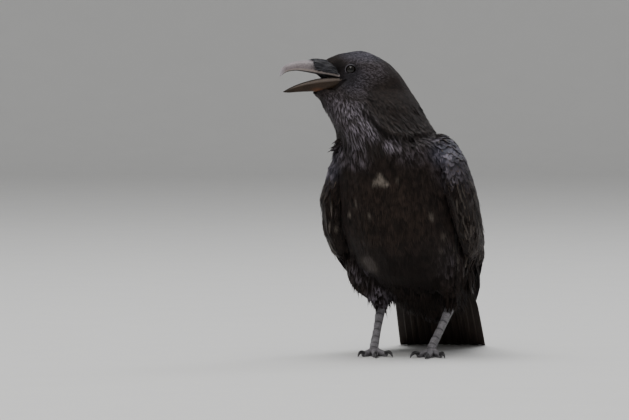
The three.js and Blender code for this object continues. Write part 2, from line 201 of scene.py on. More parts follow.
# ---------------------------------------- settings
class RavenCoat(bpy.types.PropertyGroup):
    """Feathers and their colours."""
    spacing: bpy.props.FloatProperty(name="Spacing", description="Room between the feathers' roots",
                                     default=1.0, min=0.5, max=3.0, subtype="FACTOR")
    skin_voxel: bpy.props.FloatProperty(name="Skin detail", description="Size of the skin's own mesh",
                                        default=0.0016, min=0.0008, max=0.005, unit="LENGTH")
    black: bpy.props.FloatVectorProperty(name="Black", description="Ground colour of the plumage",
                                         default=(0.0098, 0.0074, 0.0074), size=3, subtype="COLOR")
    brown: bpy.props.FloatVectorProperty(name="Brown", description="Worn, warm black of the breast and belly",
                                         default=(0.0220, 0.0140, 0.0100), size=3, subtype="COLOR")
    # painted sheen and highlights: the grey-violet that the glossy throat, crown, shoulders and thighs show
    # in light
    throat: bpy.props.FloatVectorProperty(name="Throat", description="Grey-violet of the throat feathers",
                                          default=(0.208, 0.184, 0.218), size=3, subtype="COLOR")
    # painted sheen: the blue-violet gloss of the wings and mantle, put into the colour
    gloss: bpy.props.FloatVectorProperty(name="Gloss", description="Blue-violet of the wings and mantle",
                                         default=(0.030, 0.033, 0.050), size=3, subtype="COLOR")
    worn: bpy.props.FloatVectorProperty(name="Worn edge", description="Bleached brown of the feathers' edges",
                                        default=(0.090, 0.066, 0.048), size=3, subtype="COLOR")
    pale: bpy.props.FloatVectorProperty(name="Pale", description="Greyish white of the pale feather bases",
                                        default=(0.30, 0.26, 0.22), size=3, subtype="COLOR")


class RavenHead(bpy.types.PropertyGroup):
    """Bill and eyes."""
    iris: bpy.props.FloatProperty(name="Iris", description="Radius of the dark part of the eye that shows",
                                  default=0.0054, unit="LENGTH")
    lid: bpy.props.FloatProperty(name="Lid", description="Outer radius of the ring of the lids",
                                 default=0.0068, unit="LENGTH")
    horn: bpy.props.FloatVectorProperty(name="Horn", description="Lavender grey of the upper bill",
                                        default=(0.172, 0.144, 0.150), size=3, subtype="COLOR")
    horn_low: bpy.props.FloatVectorProperty(name="Lower horn", description="Warm brown of the lower bill",
                                            default=(0.031, 0.020, 0.013), size=3, subtype="COLOR")
    horn_edge: bpy.props.FloatVectorProperty(name="Cutting edge", description="Pale horn of edges and tip",
                                             default=(0.26, 0.215, 0.19), size=3, subtype="COLOR")


class RavenLegs(bpy.types.PropertyGroup):
    """Legs and feet."""
    scute: bpy.props.FloatVectorProperty(name="Scale", description="Grey of the scales on the legs",
                                         default=(0.310, 0.296, 0.315), size=3, subtype="COLOR")
    joint: bpy.props.FloatVectorProperty(name="Joint", description="Dark skin between the scales",
                                         default=(0.018, 0.017, 0.019), size=3, subtype="COLOR")


class RavenStage(bpy.types.PropertyGroup):
    """Floor, lamps and camera."""
    lens: bpy.props.FloatProperty(name="Lens", description="Focal length", default=300.0, unit="CAMERA")
    distance: bpy.props.FloatProperty(name="Distance", description="Camera to bird", default=5.77,
                                      unit="LENGTH")
    azimuth: bpy.props.FloatProperty(name="Azimuth", description="Round the bird from straight ahead",
                                     default=math.radians(15), subtype="ANGLE")
    elevation: bpy.props.FloatProperty(name="Elevation", description="Above the horizon",
                                       default=math.radians(2), subtype="ANGLE")
    floor: bpy.props.FloatVectorProperty(name="Floor", description="Colour of the floor",
                                         default=(0.66, 0.66, 0.65), size=3, subtype="COLOR")


# ---------------------------------------- materials
class Nodes:
    """A material's tree, written as calls."""

    def __init__(self, name):
        self.material = bpy.data.materials.new(name)
        self.material.use_nodes = True
        self.tree = self.material.node_tree
        self.tree.nodes.clear()
        self.out = self.add("ShaderNodeOutputMaterial")
        self.surface = self.add("ShaderNodeBsdfPrincipled")
        self.link(self.surface, "BSDF", self.out, "Surface")

    def add(self, kind, **settings):
        node = self.tree.nodes.new(kind)
        for key, value in settings.items():
            setattr(node, key, value)
        return node

    def link(self, a, out, b, into):
        self.tree.links.new(a.outputs[out], b.inputs[into])

    def put(self, node, key, value):
        """A number, colour or another node's output into a socket."""
        if isinstance(value, bpy.types.NodeSocket):
            self.tree.links.new(value, node.inputs[key])
        elif hasattr(value, "__len__") and len(value) == 3 and node.inputs[key].type == "RGBA":
            node.inputs[key].default_value = (*value, 1)
        else:
            node.inputs[key].default_value = value

    def math(self, operation, a, b=0.0, c=0.0, clamp=False):
        node = self.add("ShaderNodeMath", operation=operation, use_clamp=clamp)
        for key, value in enumerate((a, b, c)):
            self.put(node, key, value)
        return node.outputs[0]

    def mix(self, share, a, b, blend="MIX"):
        node = self.add("ShaderNodeMix", data_type="RGBA", blend_type=blend)
        self.put(node, 0, share)
        self.put(node, 6, a)
        self.put(node, 7, b)
        return node.outputs[2]

    def ramp(self, value, low, high, to_low=0.0, to_high=1.0):
        node = self.add("ShaderNodeMapRange", interpolation_type="SMOOTHSTEP")
        for key, number in enumerate((value, low, high, to_low, to_high)):
            self.put(node, key, number)
        return node.outputs[0]

    def marks(self, name):
        """The four channels of a mesh attribute."""
        node = self.add("ShaderNodeAttribute", attribute_name=name)
        parts = self.add("ShaderNodeSeparateColor")
        self.link(node, "Color", parts, 0)
        return [parts.outputs[0], parts.outputs[1], parts.outputs[2], node.outputs["Alpha"]]

    def noise(self, scale, detail=3.0, rough=0.55, at=None):
        node = self.add("ShaderNodeTexNoise")
        self.put(node, "Scale", scale)
        self.put(node, "Detail", detail)
        self.put(node, "Roughness", rough)
        if at is None:
            at = self.add("ShaderNodeTexCoord").outputs["Object"]
        self.put(node, "Vector", at)
        return node.outputs["Fac"]

    def bump(self, height, strength, distance):
        node = self.add("ShaderNodeBump")
        self.put(node, "Strength", strength)
        self.put(node, "Distance", distance)
        self.put(node, "Height", height)
        self.link(node, "Normal", self.surface, "Normal")

    def finish(self, colour, roughness, **sockets):
        self.put(self.surface, "Base Color", colour)
        self.put(self.surface, "Roughness", roughness)
        for key, value in sockets.items():
            self.put(self.surface, key.replace("_", " "), value)
        return self.material


def plumage(name, rough=0.58, glossy=0.18, sheen=0.05, barbs=1.0, fine=1.0):
    """Feathers. "mark" holds throat, gloss, brown and pale, where throat and gloss are painted sheen and
    highlights; "vane" across, along, shade and wear, where shade also carries painted shade.
    """
    coat = bpy.context.scene.raven_coat
    n = Nodes(name)
    throat, gloss, brown, pale = n.marks("mark")
    across, along, shade, wear = n.marks("vane")
    side = n.math("ABSOLUTE", n.math("MULTIPLY_ADD", across, 2.0, -1.0))
    cloud = n.noise(38.0, 3.0)
    colour = n.mix(brown, tuple(coat.black), tuple(coat.brown))
    colour = n.mix(gloss, colour, tuple(coat.gloss))
    # painted sheen: grey-violet streaks, stronger towards the feathers' tips
    painted_sheen = n.math("MULTIPLY", n.math("MULTIPLY", throat, n.ramp(shade, 0.25, 0.85, 0.10, 1.0)),
                    n.ramp(along, 0.20, 0.90, 0.20, 1.0))
    colour = n.mix(painted_sheen, colour, tuple(coat.throat))
    light = n.math("MULTIPLY", n.math("MULTIPLY_ADD", shade, 1.2, 0.40), n.ramp(along, 0.0, 0.75, 0.40, 1.05))
    colour = n.mix(1.0, colour, n.math("MULTIPLY", light, n.ramp(cloud, 0.25, 0.75, 0.88, 1.12)), "MULTIPLY")
    rim = n.math("MAXIMUM", n.ramp(side, 0.70, 1.0), n.ramp(along, 0.84, 1.0))
    colour = n.mix(n.math("MULTIPLY", rim, wear, clamp=True), colour, tuple(coat.worn))
    shaft = n.math("MULTIPLY", n.ramp(side, 0.0, 0.14, 1.0, 0.0), 0.45)
    colour = n.mix(shaft, colour, (0.006, 0.005, 0.005))
    colour = n.mix(n.math("MULTIPLY", pale, n.ramp(shade, 0.1, 0.7, 0.45, 1.0)), colour, tuple(coat.pale))
    slant = n.math("MULTIPLY_ADD", along, 5.0, n.math("MULTIPLY", side, -1.2))
    lines = n.math("SINE", n.math("MULTIPLY", slant, 46.0 * fine))
    n.bump(n.math("MULTIPLY_ADD", lines, 0.5, n.noise(900.0, 2.0)), 0.35 * barbs, 0.0004 / fine)
    roughness = n.math("MULTIPLY_ADD", n.noise(220.0, 3.0), 0.22, rough - 0.11)
    return n.finish(colour, roughness, Sheen_Weight=sheen, Sheen_Roughness=0.45,
                    Sheen_Tint=(0.72, 0.68, 0.74), Specular_IOR_Level=glossy)


def skin_finish():
    """Dark skin and down, with the same marks and painted sheen as the coat over it."""
    coat = bpy.context.scene.raven_coat
    n = Nodes("skin_down")
    throat, gloss, brown, pale = n.marks("mark")
    colour = n.mix(brown, tuple(coat.black), tuple(coat.brown))
    colour = n.mix(n.math("MULTIPLY", gloss, 0.7), colour, tuple(coat.gloss))
    colour = n.mix(n.math("MULTIPLY", throat, 0.35), colour, tuple(coat.throat))
    colour = n.mix(n.math("MULTIPLY", pale, 0.5), colour, tuple(coat.pale))
    fluff = n.noise(650.0, 4.0, 0.7)
    colour = n.mix(1.0, colour, n.ramp(fluff, 0.3, 0.75, 0.30, 0.85), "MULTIPLY")
    n.bump(fluff, 0.7, 0.0012)
    return n.finish(colour, n.ramp(fluff, 0.2, 0.8, 0.75, 0.95), Specular_IOR_Level=0.1)


# ---------------------------------------- the lie of the coat
# the coat by tract, the head's in the head's axes: name, place, the way the feathers lie, their length and
# width, how deep the coat is and how loose. The wings' and the thighs' are those of the left side.
LANDMARKS = {
    "head": (
        ("brow", (0, -34, 13), (0, 1, 0.25), 6, 2.4, 1.2, 0.0),
        ("crown", (0, -8, 20), (0, 1, 0.02), 8, 3.4, 1.6, 0.0),
        ("hind crown", (0, 16, 15), (0, 0.9, -0.45), 11, 4.6, 2.2, 0.0),
        ("lores", (12, -27, -1), (0.1, 1, 0.0), 4, 1.5, 1.0, 0.0),
        ("above the eye", (16, -9, 9), (0, 1, 0.1), 4.5, 1.9, 1.1, 0.0),
        ("behind the eye", (21, 3, 0), (0, 1, -0.25), 6, 2.3, 1.4, 0.0),
        ("below the eye", (19, -9, -9), (0, 1, -0.2), 4.5, 1.9, 1.2, 0.0),
        ("cheek", (21, 4, -14), (0, 0.8, -0.6), 9, 3.6, 2.0, 0.0),
        ("gape", (14, -22, -16), (0, 0.8, -0.55), 6, 2.2, 1.6, 0.0),
        ("chin", (0, -46, -31), (0, 0.92, -0.4), 10, 2.2, 1.8, 0.05),
        ("upper throat", (0, -34, -38), (0, 0.55, -0.85), 13, 2.6, 2.6, 0.06),
        ("jaw side", (16, -14, -30), (0, 0.5, -0.85), 11, 2.9, 2.4, 0.0),
    ),
    "body": (
        ("throat", (-58, -92, 278), (0.15, 0.0, -1), 19, 3.2, 4.0, 0.06),
        ("throat left", (-22, -98, 268), (0.42, 0.05, -1), 18, 3.3, 4.0, 0.06),
        ("throat right", (-72, -70, 268), (-0.1, 0.1, -1), 20, 3.6, 4.5, 0.08),
        ("bib", (-24, -110, 236), (0.25, 0.0, -1), 28, 4.6, 5.0, 0.05),
        ("bib left", (10, -96, 238), (0.25, 0.05, -1), 20, 4.4, 4.5, 0.04),
        ("bib right", (-60, -92, 232), (0.1, 0.05, -1), 26, 5.0, 5.0, 0.05),
        ("right shoulder", (-58, -74, 222), (-0.25, 0.1, -1), 20, 5.5, 4.5, 0.04),
        ("nape", (-12, -22, 300), (0.35, 0.4, -0.85), 15, 5.6, 3.4, 0.0),
        ("neck left", (10, -62, 276), (0.75, 0.1, -0.8), 12, 4.6, 3.0, 0.0),
        ("neck foot left", (34, -54, 258), (0.6, 0.1, -0.8), 13, 5.5, 3.2, 0.0),
        ("neck right", (-60, -30, 270), (-0.2, 0.3, -0.9), 16, 6.0, 4.0, 0.0),
        ("mantle", (-4, 6, 226), (0, 0.62, -0.78), 21, 8.5, 5.0, 0.0),
        ("back", (0, 44, 170), (0, 0.68, -0.73), 25, 9.5, 5.0, 0.0),
        ("lower back", (0, 80, 120), (0, 0.7, -0.7), 27, 9.5, 5.0, 0.05),
        ("rump", (2, 106, 76), (0, 0.86, -0.5), 24, 10, 4.0, 0.0),
        ("tail coverts", (2, 132, 48), (-0.1, 0.86, -0.5), 24, 10, 1.6, 0.0),
        ("breast", (-4, -98, 190), (0, 0.12, -1), 22, 9, 5.5, 0.02),
        ("lower breast", (-2, -72, 150), (0, 0.3, -0.95), 28, 12, 6.5, 0.08),
        ("breast side", (52, -66, 200), (0.05, 0.3, -0.95), 25, 11, 5.5, 0.0),
        ("breast side", (-58, -66, 200), (-0.05, 0.3, -0.95), 25, 11, 5.5, 0.0),
        ("belly", (0, -30, 106), (0, 0.62, -0.78), 27, 8, 7.0, 0.15),
        ("flank", (60, -14, 140), (0, 0.5, -0.86), 32, 12, 6.5, 0.2),
        ("flank", (-60, -14, 140), (0, 0.5, -0.86), 32, 12, 6.5, 0.2),
        ("vent", (0, 40, 66), (0, 0.7, -0.7), 24, 6, 6.0, 0.35),
        ("under tail", (2, 100, 44), (0, 0.85, -0.5), 24, 7, 3.0, 0.15),
    ),
    "wing": (
        ("shoulder", (46, -40, 236), (0.2, 0.1, -0.95), 13, 9, 3.0, 0.0),
        ("wing front", (66, -66, 195), (0.05, 0.3, -0.95), 14, 6.0, 2.5, 0.0),
        ("wing front low", (76, -46, 160), (0, 0.36, -0.92), 26, 5.5, 2.5, 0.0),
        ("wing side low", (84, -14, 138), (0, 0.40, -0.90), 32, 6.0, 2.5, 0.0),
        ("wing middle", (84, -20, 180), (0.0, 0.50, -0.86), 25, 7.5, 3.0, 0.0),
        ("wing top", (66, -4, 200), (0, 0.6, -0.8), 24, 13, 3.0, 0.0),
        ("wing rear", (76, 16, 150), (0, 0.72, -0.7), 36, 13, 3.0, 0.0),
        ("wing low", (70, 22, 116), (-0.1, 0.8, -0.6), 32, 11, 2.0, 0.0),
    ),
    "thigh": (
        ("thigh top", (50, 8, 140), (0, 0.2, -1), 24, 7.0, 4.0, 0.15),
        ("thigh", (44, 14, 100), (0, 0.25, -1), 24, 5.0, 4.0, 0.35),
        ("outer thigh", (62, 18, 92), (0.05, 0.25, -1), 20, 3.4, 4.0, 0.35),
        ("knee", (42, 26, 72), (0, 0.1, -1), 15, 4.0, 2.6, 0.25),
        ("ankle", (42, 30, 54), (0, 0, -1), 9, 2.6, 1.2, 0.1),
    ),
}
GROUPS = ("body", "left_wing", "right_wing", "left_thigh", "right_thigh")  # a group is a number in this list


def landmark_rows():
    """Landmarks as arrays by group: places and directions in the frame, and sizes in metres."""
    rows = {group: [] for group in GROUPS}
    for tract, marks in LANDMARKS.items():
        in_head, paired = tract == "head", tract in ("wing", "thigh")
        for _, at, lie, length, width, depth, loose in marks:
            for hand in (1, -1) if at[0] and (in_head or paired) else (1,):
                spot, way = np.array(at) * (hand, 1, 1), np.array(lie) * (hand, 1, 1)
                way = turn_head(way) if in_head else way
                sizes = (length * MM, width * MM, depth * MM, loose)
                group = ("left_" if hand > 0 else "right_") + tract if paired else "body"
                rows[group].append(np.concatenate([place(spot, in_head), unit(way), sizes]))
    return {group: np.array(value) for group, value in rows.items()}


def coat_at(points, groups):
    """Lie, length, width, depth and looseness of the coat at places on the bird."""
    rows = made.setdefault("landmarks", landmark_rows())
    out = np.zeros((len(points), 7))
    for k, group in enumerate(GROUPS):
        here = groups == k
        if not here.any():
            continue
        table = rows[group]
        for chunk in np.array_split(np.flatnonzero(here), max(1, here.sum() // 20000)):
            away = ((points[chunk, None] - table[None, :, :3]) ** 2).sum(-1)
            weight = 1 / (away + 6e-6) ** 2
            out[chunk] = (weight @ table[:, 3:]) / weight.sum(1, keepdims=True)
    return out[:, :3], out[:, 3], out[:, 4], out[:, 5], out[:, 6]


# colours by kind: place in the bird's axes, reach each way and strength. The throat and gloss patches are
# painted sheen and highlights over the throat, bib, crown, cheeks, shoulders and thighs.
PATCHES = {
    "throat": (
        ((-38, -94, 268), (22, 22, 17), 0.80), ((-26, -98, 254), (20, 22, 16), 0.88),
        ((-14, -98, 247), (12, 18, 14), 1.0), ((-56, -90, 270), (20, 20, 26), 0.54),
        ((-36, -97, 238), (22, 24, 24), 0.74), ((8, -95, 233), (13, 16, 10), 0.90),
        ((-56, -78, 220), (12, 18, 18), 0.70), ((26, -84, 224), (28, 24, 16), 0.26),
        ((-70, -62, 209), (12, 22, 18), 0.80), ((44, -64, 232), (16, 20, 14), 0.42),
        ((60, -60, 222), (20, 26, 16), 0.50), ((68, -64, 202), (14, 24, 16), 0.52),
        ((62, -50, 214), (28, 40, 34), 0.26), ((76, -44, 180), (16, 24, 24), 0.10),
        ((-34, -30, 101), (10, 24, 13), 0.55), ((-44, -8, 90), (22, 28, 18), 0.60),
        ((-33, 14, 61), (18, 34, 21), 1.0), ((50, -16, 100), (18, 30, 34), 0.18),
        ((-32, -68, 330), (26, 28, 15), 0.50), ((-17, -77, 314), (20, 20, 16), 0.38),
        ((-34, -88, 290), (18, 18, 14), 0.27), ((-28, -82, 302), (15, 15, 12), 0.28),
        ((-62, -88, 280), (16, 16, 12), 0.40), ((-34, -91, 217), (20, 20, 13), 0.50),
        ((-80, -75, 290), (14, 14, 10), 0.20),
    ),
    "gloss": (
        ((-32, -60, 334), (34, 34, 16), 0.9), ((-40, -76, 304), (22, 26, 24), 0.40),
        ((58, -50, 224), (26, 40, 20), 1.0), ((-70, -56, 208), (24, 36, 22), 0.7),
    ),
    "brown": (
        ((-30, -98, 226), (34, 40, 34), 0.8), ((0, -90, 150), (90, 90, 90), 1.0),
        ((-4, -20, 284), (40, 50, 40), 1.0), ((0, 30, 60), (70, 90, 60), 0.6),
    ),
    "pale": (
        ((-34, -30, 101), (14, 24, 14), 0.24), ((-38, -76, 169), (2.0, 14, 5), 0.30),
        ((-48.6, -63, 156), (3, 12, 3), 0.42), ((-23, -75, 155), (2.4, 12, 4), 0.36),
        ((-68, -46, 140), (3, 12, 4), 0.50), ((43.5, -62, 155), (3, 12, 4.4), 0.50),
        ((12, -90, 195), (3, 12, 3), 0.20), ((52, -42, 132), (3, 12, 6), 0.20),
        ((58, -16, 117), (2.2, 12, 3.4), 0.24), ((47, -33, 117), (2.2, 12, 3.4), 0.22),
    ),
}
# the pale wedge on the breast: its top, how tall it is and half its width at the foot
WEDGE = ((-6.4, -93, 203.5), 14.5, 11.0)


def markings_and_sheen(points, groups):
    """Throat, gloss, brown and pale, each 0..1, by place on the bird. Throat and gloss are painted sheen and
    highlights, and the mantle and the tops of the wings get more gloss. Skin and coat both use it.
    """
    at = (points - STANDS_AT) / MM
    wing = (groups == 1) | (groups == 2)
    # painted sheen: more gloss on the mantle, and on the wings towards their tops where light falls from
    # above
    back = (groups == 0) * smoothstep(at[:, 1], -30, 20) * smoothstep(at[:, 2] + 0.62 * at[:, 1], 112, 134)
    high = smoothstep(at[:, 2], 165, 225)
    fields = {"throat": np.zeros(len(at)),
              "gloss": np.maximum((0.05 + 0.35 * high) * wing, 0.35 * back) + 0.04,
              "brown": np.where(groups == 0, 0.70, 0.9 - 0.6 * high), "pale": np.zeros(len(at))}
    for kind, spots in PATCHES.items():
        for spot, reach, strength in spots:
            away = np.linalg.norm((at - np.array(spot)) / np.array(reach), axis=1)
            fields[kind] = np.maximum(fields[kind], strength * (1 - smoothstep(away, 0.35, 1.15)))
    fields["brown"] = fields["brown"] * (1 - 0.6 * back)
    top, tall, half = WEDGE
    down = (top[2] - at[:, 2]) / tall
    inside = smoothstep(half * down - np.abs(at[:, 0] - top[0]), -0.8, 1.4) * (at[:, 1] < top[1] + 20)
    inside = inside * (1 - smoothstep(down, 0.85, 1.1)) * (1 - 0.35 * down)
    fields["pale"] = np.maximum(fields["pale"], inside)
    return np.stack([np.clip(field, 0, 1) for field in fields.values()], 1)


# folds between tracts of feathers: the side that lies over, how far it stands out and how far the other side
# lies in, how wide the fold is, and its line in the bird's axes with a share of its full depth at each point.
# The side that lies in is darkened with painted shade.
FOLDS = {
    "collar": ((0, 0, 1), 2.4, 3.8, 6.5, (
        (-24, -96, 270, 0.4), (-14, -97, 260, 0.8), (-6, -97, 253, 1.0), (1, -97, 246, 1.0),
        (14, -90, 243, 1.0), (26, -79, 243, 0.9), (35, -66, 244, 0.5), (41, -46, 246, 0.12),
        (38, -24, 247, 0.0))),
    "bib": ((0, 0, 1), 1.0, 1.8, 4.5, (
        (-55, -77, 234, 0.3), (-52, -79, 231, 0.9), (-41, -87, 220, 1.0), (-28, -92, 208, 1.0),
        (-14, -93, 201, 0.8), (-4, -93, 199, 0.3))),
    "left wing": ((1, 0, 0), 1.0, 1.6, 4.5, (
        (54, -66, 214, 0.4), (60, -66, 200, 0.8), (65, -65, 188, 1.0), (70, -62, 172, 1.0),
        (73, -54, 158, 1.0), (76, -43, 142, 1.0), (79, -26, 126, 0.8))),
    "right wing": ((-1, 0, 0), 0.8, 1.4, 4.0, (
        (-58, -72, 208, 0.5), (-61, -67, 194, 0.9), (-62, -65, 182, 1.0), (-64, -56, 161, 1.0),
        (-65, -41, 140, 1.0), (-65, -22, 122, 0.7))),
}
# hollows of the head, in its axes: place, how wide, how deep
HOLLOWS = (((13, -31, -19), 8.5, 3.4), ((-13, -31, -19), 8.5, 3.4), ((0, -44, -27), 6.0, 1.2))
# painted shadows on both sides of the face, in the head's axes: place, how wide, how dark
SHADOWS = (((13, -25, 3), 8.0, 0.8), ((19, -8, -11), 7.5, 0.75), ((16, -19, -9), 7.0, 0.7),
           ((19, 1, 3), 5.0, 0.5))


def folds(points):
    """How far each place stands out (m), and how much painted shade it gets from lying deep in a fold or in a
    shadow of the face, 0..1.
    """
    at = (points - STANDS_AT) / MM
    out, deep = np.zeros((2, len(at)))
    for over, raised, sunk, wide, line in FOLDS.values():
        line = np.array(line, float)
        best, side, share = np.full(len(at), 1e9), np.zeros(len(at)), np.zeros(len(at))
        for a, b in zip(line[:-1], line[1:]):
            step = b[:3] - a[:3]
            t = np.clip((at - a[:3]) @ step / (step @ step), 0, 1)
            gap = at - (a[:3] + t[:, None] * step)
            away = np.linalg.norm(gap, axis=1)
            closer = away < best
            best[closer] = away[closer]
            side[closer] = (gap @ np.array(over, float))[closer]
            share[closer] = (a[3] + t * (b[3] - a[3]))[closer]
        above = smoothstep(side, -0.8, 0.8)
        out += share * np.exp(-(best / wide) ** 2) * (raised * above - sunk * (1 - above))
        deep = np.maximum(deep, share * np.exp(-(best / wide / 0.6) ** 2) * (1 - above))
    for spot, wide, sunk in HOLLOWS:
        away = np.linalg.norm(points - place(spot, head=True), axis=1) / MM
        out -= sunk * np.exp(-(away / wide) ** 2)
    for spot, wide, dark in SHADOWS:
        for hand in (1, -1):
            away = np.linalg.norm(points - place(np.array(spot) * (hand, 1, 1), head=True), axis=1) / MM
            deep = np.maximum(deep, dark * np.exp(-(away / wide) ** 4))
    return out * MM, deep


# ---------------------------------------- skin
def tidy_node(name):
    """A CAD node's mesh with its shared corners joined."""
    shape = bmesh.new()
    shape.from_mesh(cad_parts[name].data)
    bmesh.ops.remove_doubles(shape, verts=shape.verts, dist=1e-6)
    bmesh.ops.triangulate(shape, faces=shape.faces)
    shape.normal_update()
    points = np.array([v.co for v in shape.verts])
    normals = np.array([v.normal for v in shape.verts])
    faces = np.array([[v.index for v in f.verts] for f in shape.faces])
    shape.free()
    return points, normals, faces


def corner_normals(points, faces):
    """Smooth normals of a mesh of triangles, corner by corner."""
    a, b, c = (points[faces[:, k]] for k in range(3))
    normal = np.cross(b - a, c - a)
    total = np.zeros_like(points)
    for k in range(3):
        np.add.at(total, faces[:, k], normal)
    return unit(total)


def voxel_shape(names, grow, voxel, rounds):
    """One closed mesh round several CAD nodes, smoothed."""
    points, faces, start = [], [], 0
    for name in names:
        p, n, f = tidy_node(name)
        points.append(p + n * grow)
        faces.append(f + start)
        start += len(p)
    source = mesh_piece("skin_source", np.concatenate(points), [np.concatenate(faces)], [])
    remesh = source.modifiers.new("one body", "REMESH")
    remesh.mode = "VOXEL"
    remesh.voxel_size = voxel
    smooth = source.modifiers.new("smooth", "SMOOTH")
    smooth.iterations = rounds
    smooth.factor = 0.5
    shaped = bpy.data.meshes.new_from_object(source.evaluated_get(bpy.context.evaluated_depsgraph_get()))
    bpy.data.objects.remove(source)
    return shaped


def nearest_group(points):
    """Which group of the coat each place belongs to: that of the nearest CAD node, but the body's in front of
    the wings."""
    owner = {"left_wing_coverts": 1, "right_wing_coverts": 2, "left_thigh": 3, "right_thigh": 4}
    best = np.full(len(points), 1e9)
    group = np.zeros(len(points), int)
    for name in FLESH:
        p, _, f = tidy_node(name)
        tree = tree_of(p, f)
        away = np.array([tree.find_nearest(q)[3] for q in points])
        closer = away < best
        best[closer] = away[closer]
        group[closer] = owner.get(name, 0)
    _, y, z = ((points - STANDS_AT) / MM).T
    for number, name in ((1, "left wing"), (2, "right wing")):
        line = np.array(FOLDS[name][-1][::-1])
        group[(group == number) & (z < 200) & (y < np.interp(z, line[:, 2], line[:, 1]))] = 0
    return group


class RAVEN_OT_skin(bpy.types.Operator):
    """One skin under the coat, for the body, neck, head, thighs and the fore parts of the wings"""
    bl_idname = "raven.skin"
    bl_label = "Skin"

    def execute(self, context):
        voxel = context.scene.raven_coat.skin_voxel
        mesh = voxel_shape(FLESH, grow=0.5 * MM, voxel=voxel, rounds=8)
        mesh.name = "skin"
        outer = read(mesh.vertices, "co", 3).astype(float)
        mesh.calc_loop_triangles()
        faces = read(mesh.loop_triangles, "vertices", 3, np.int32)
        normals = corner_normals(outer, faces)
        groups = nearest_group(outer)
        # the coat's outside is fuller than the solids, the left wing's more so, and the skin lies under it
        outer = outer + normals * (1.15 * MM + 1.2 * MM * (groups == 1) + folds(outer)[0])[:, None]
        normals = corner_normals(outer, faces)
        depth = coat_at(outer, groups)[3]
        inner = outer - normals * (depth + 0.5 * MM)[:, None]
        mesh.vertices.foreach_set("co", inner.astype(np.float32).ravel())
        mesh.polygons.foreach_set("use_smooth", np.ones(len(mesh.polygons), bool))
        skin = bpy.data.objects.new("skin", mesh)
        context.scene.collection.objects.link(skin)
        context.view_layer.objects.active = skin
        skin.select_set(True)
        mesh.uv_layers.new(name="OFBake")
        bpy.ops.object.mode_set(mode="EDIT")
        bpy.ops.mesh.select_all(action="SELECT")
        bpy.ops.uv.smart_project(angle_limit=math.radians(66), island_margin=0.003, scale_to_bounds=True)
        bpy.ops.object.mode_set(mode="OBJECT")
        uv = read(mesh.uv_layers["OFBake"].data, "uv", 2)
        mesh.calc_loop_triangles()
        corners = read(mesh.loop_triangles, "loops", 3, np.int32)
        layer = mesh.attributes.new("mark", "FLOAT_COLOR", "POINT")
        layer.data.foreach_set("color", markings_and_sheen(outer, groups).astype(np.float32).ravel())
        mesh.materials.append(skin_finish())
        made.update(points=outer, faces=faces, normals=normals, groups=groups, corner_uv=uv[corners],
                    outside=tree_of(outer, faces))
        settle_piece(skin, "body_plumage", *FLESH)
        return {"FINISHED"}


# ---------------------------------------- roots
def scatter(step, rng, wanted, tries=5.0, apart=0.82):
    """Evenly strewn roots on the outer surface: faces and shares of their corners. step is the room for each
    root, face by face, tries how many are thrown into it and apart how near, in steps, two may lie."""
    points, faces = made["points"], made["faces"]
    a, b, c = (points[faces[:, k]] for k in range(3))
    area = 0.5 * np.linalg.norm(np.cross(b - a, c - a), axis=1) * wanted
    face = np.repeat(np.arange(len(faces)), rng.poisson(area / step**2 * tries))
    u, v = rng.random((2, len(face)))
    swap = u + v > 1
    u[swap], v[swap] = 1 - u[swap], 1 - v[swap]
    share = np.stack([1 - u - v, u, v], 1)
    spot = (points[faces[face]] * share[..., None]).sum(1)
    order = rng.permutation(len(face))
    tree = KDTree(len(face))
    for i in range(len(face)):
        tree.insert(spot[i], i)
    tree.balance()
    gone = np.zeros(len(face), bool)
    kept = []
    reach = step[face] * apart
    for i in order:
        if gone[i]:
            continue
        kept.append(i)
        for _, j, _ in tree.find_range(spot[i], reach[i]):
            gone[j] = True
    kept = np.array(kept)
    return face[kept], share[kept]


def lie_surface():
    """What the feathers lie on: the outer surface, the wings' secondaries, the tail and the upper bill."""
    if "tree" not in made:
        points, faces, normals = [made["points"]], [made["faces"]], [made["normals"]]
        start = len(made["points"])
        for name in ("left_wing_secondaries", "right_wing_secondaries", "tail", "upper_bill"):
            p, n, f = tidy_node(name)
            points.append(p)
            normals.append(n)
            faces.append(f + start)
            start += len(p)
        made["lie"] = np.concatenate(points), np.concatenate(faces), np.concatenate(normals)
        made["tree"] = tree_of(*made["lie"][:2])
    return made["tree"]


def settle(points):
    """Nearest places on what the feathers lie on, with smooth normals."""
    tree = lie_surface()
    where = np.empty_like(points)
    face = np.empty(len(points), int)
    for i, p in enumerate(points):
        hit = tree.find_nearest(p)
        where[i] = hit[0]
        face[i] = hit[2]
    corners, faces, normals = made["lie"]
    tri = corners[faces[face]]
    area = [np.linalg.norm(np.cross(tri[:, (k + 1) % 3] - where, tri[:, (k + 2) % 3] - where), axis=1)
            for k in range(3)]
    share = np.stack(area, 1) + 1e-12
    share /= share.sum(1, keepdims=True)
    return where, unit((normals[faces[face]] * share[..., None]).sum(1))


# ---------------------------------------- vanes
MAP_PATCH, MAP_MARGIN = 0.0015, 0.0016  # half a feather's patch on the skin's map, and the map's edge
VARIES = 0.10  # how much length and width differ from feather to feather
UNRULY = 0.13  # how much their directions do


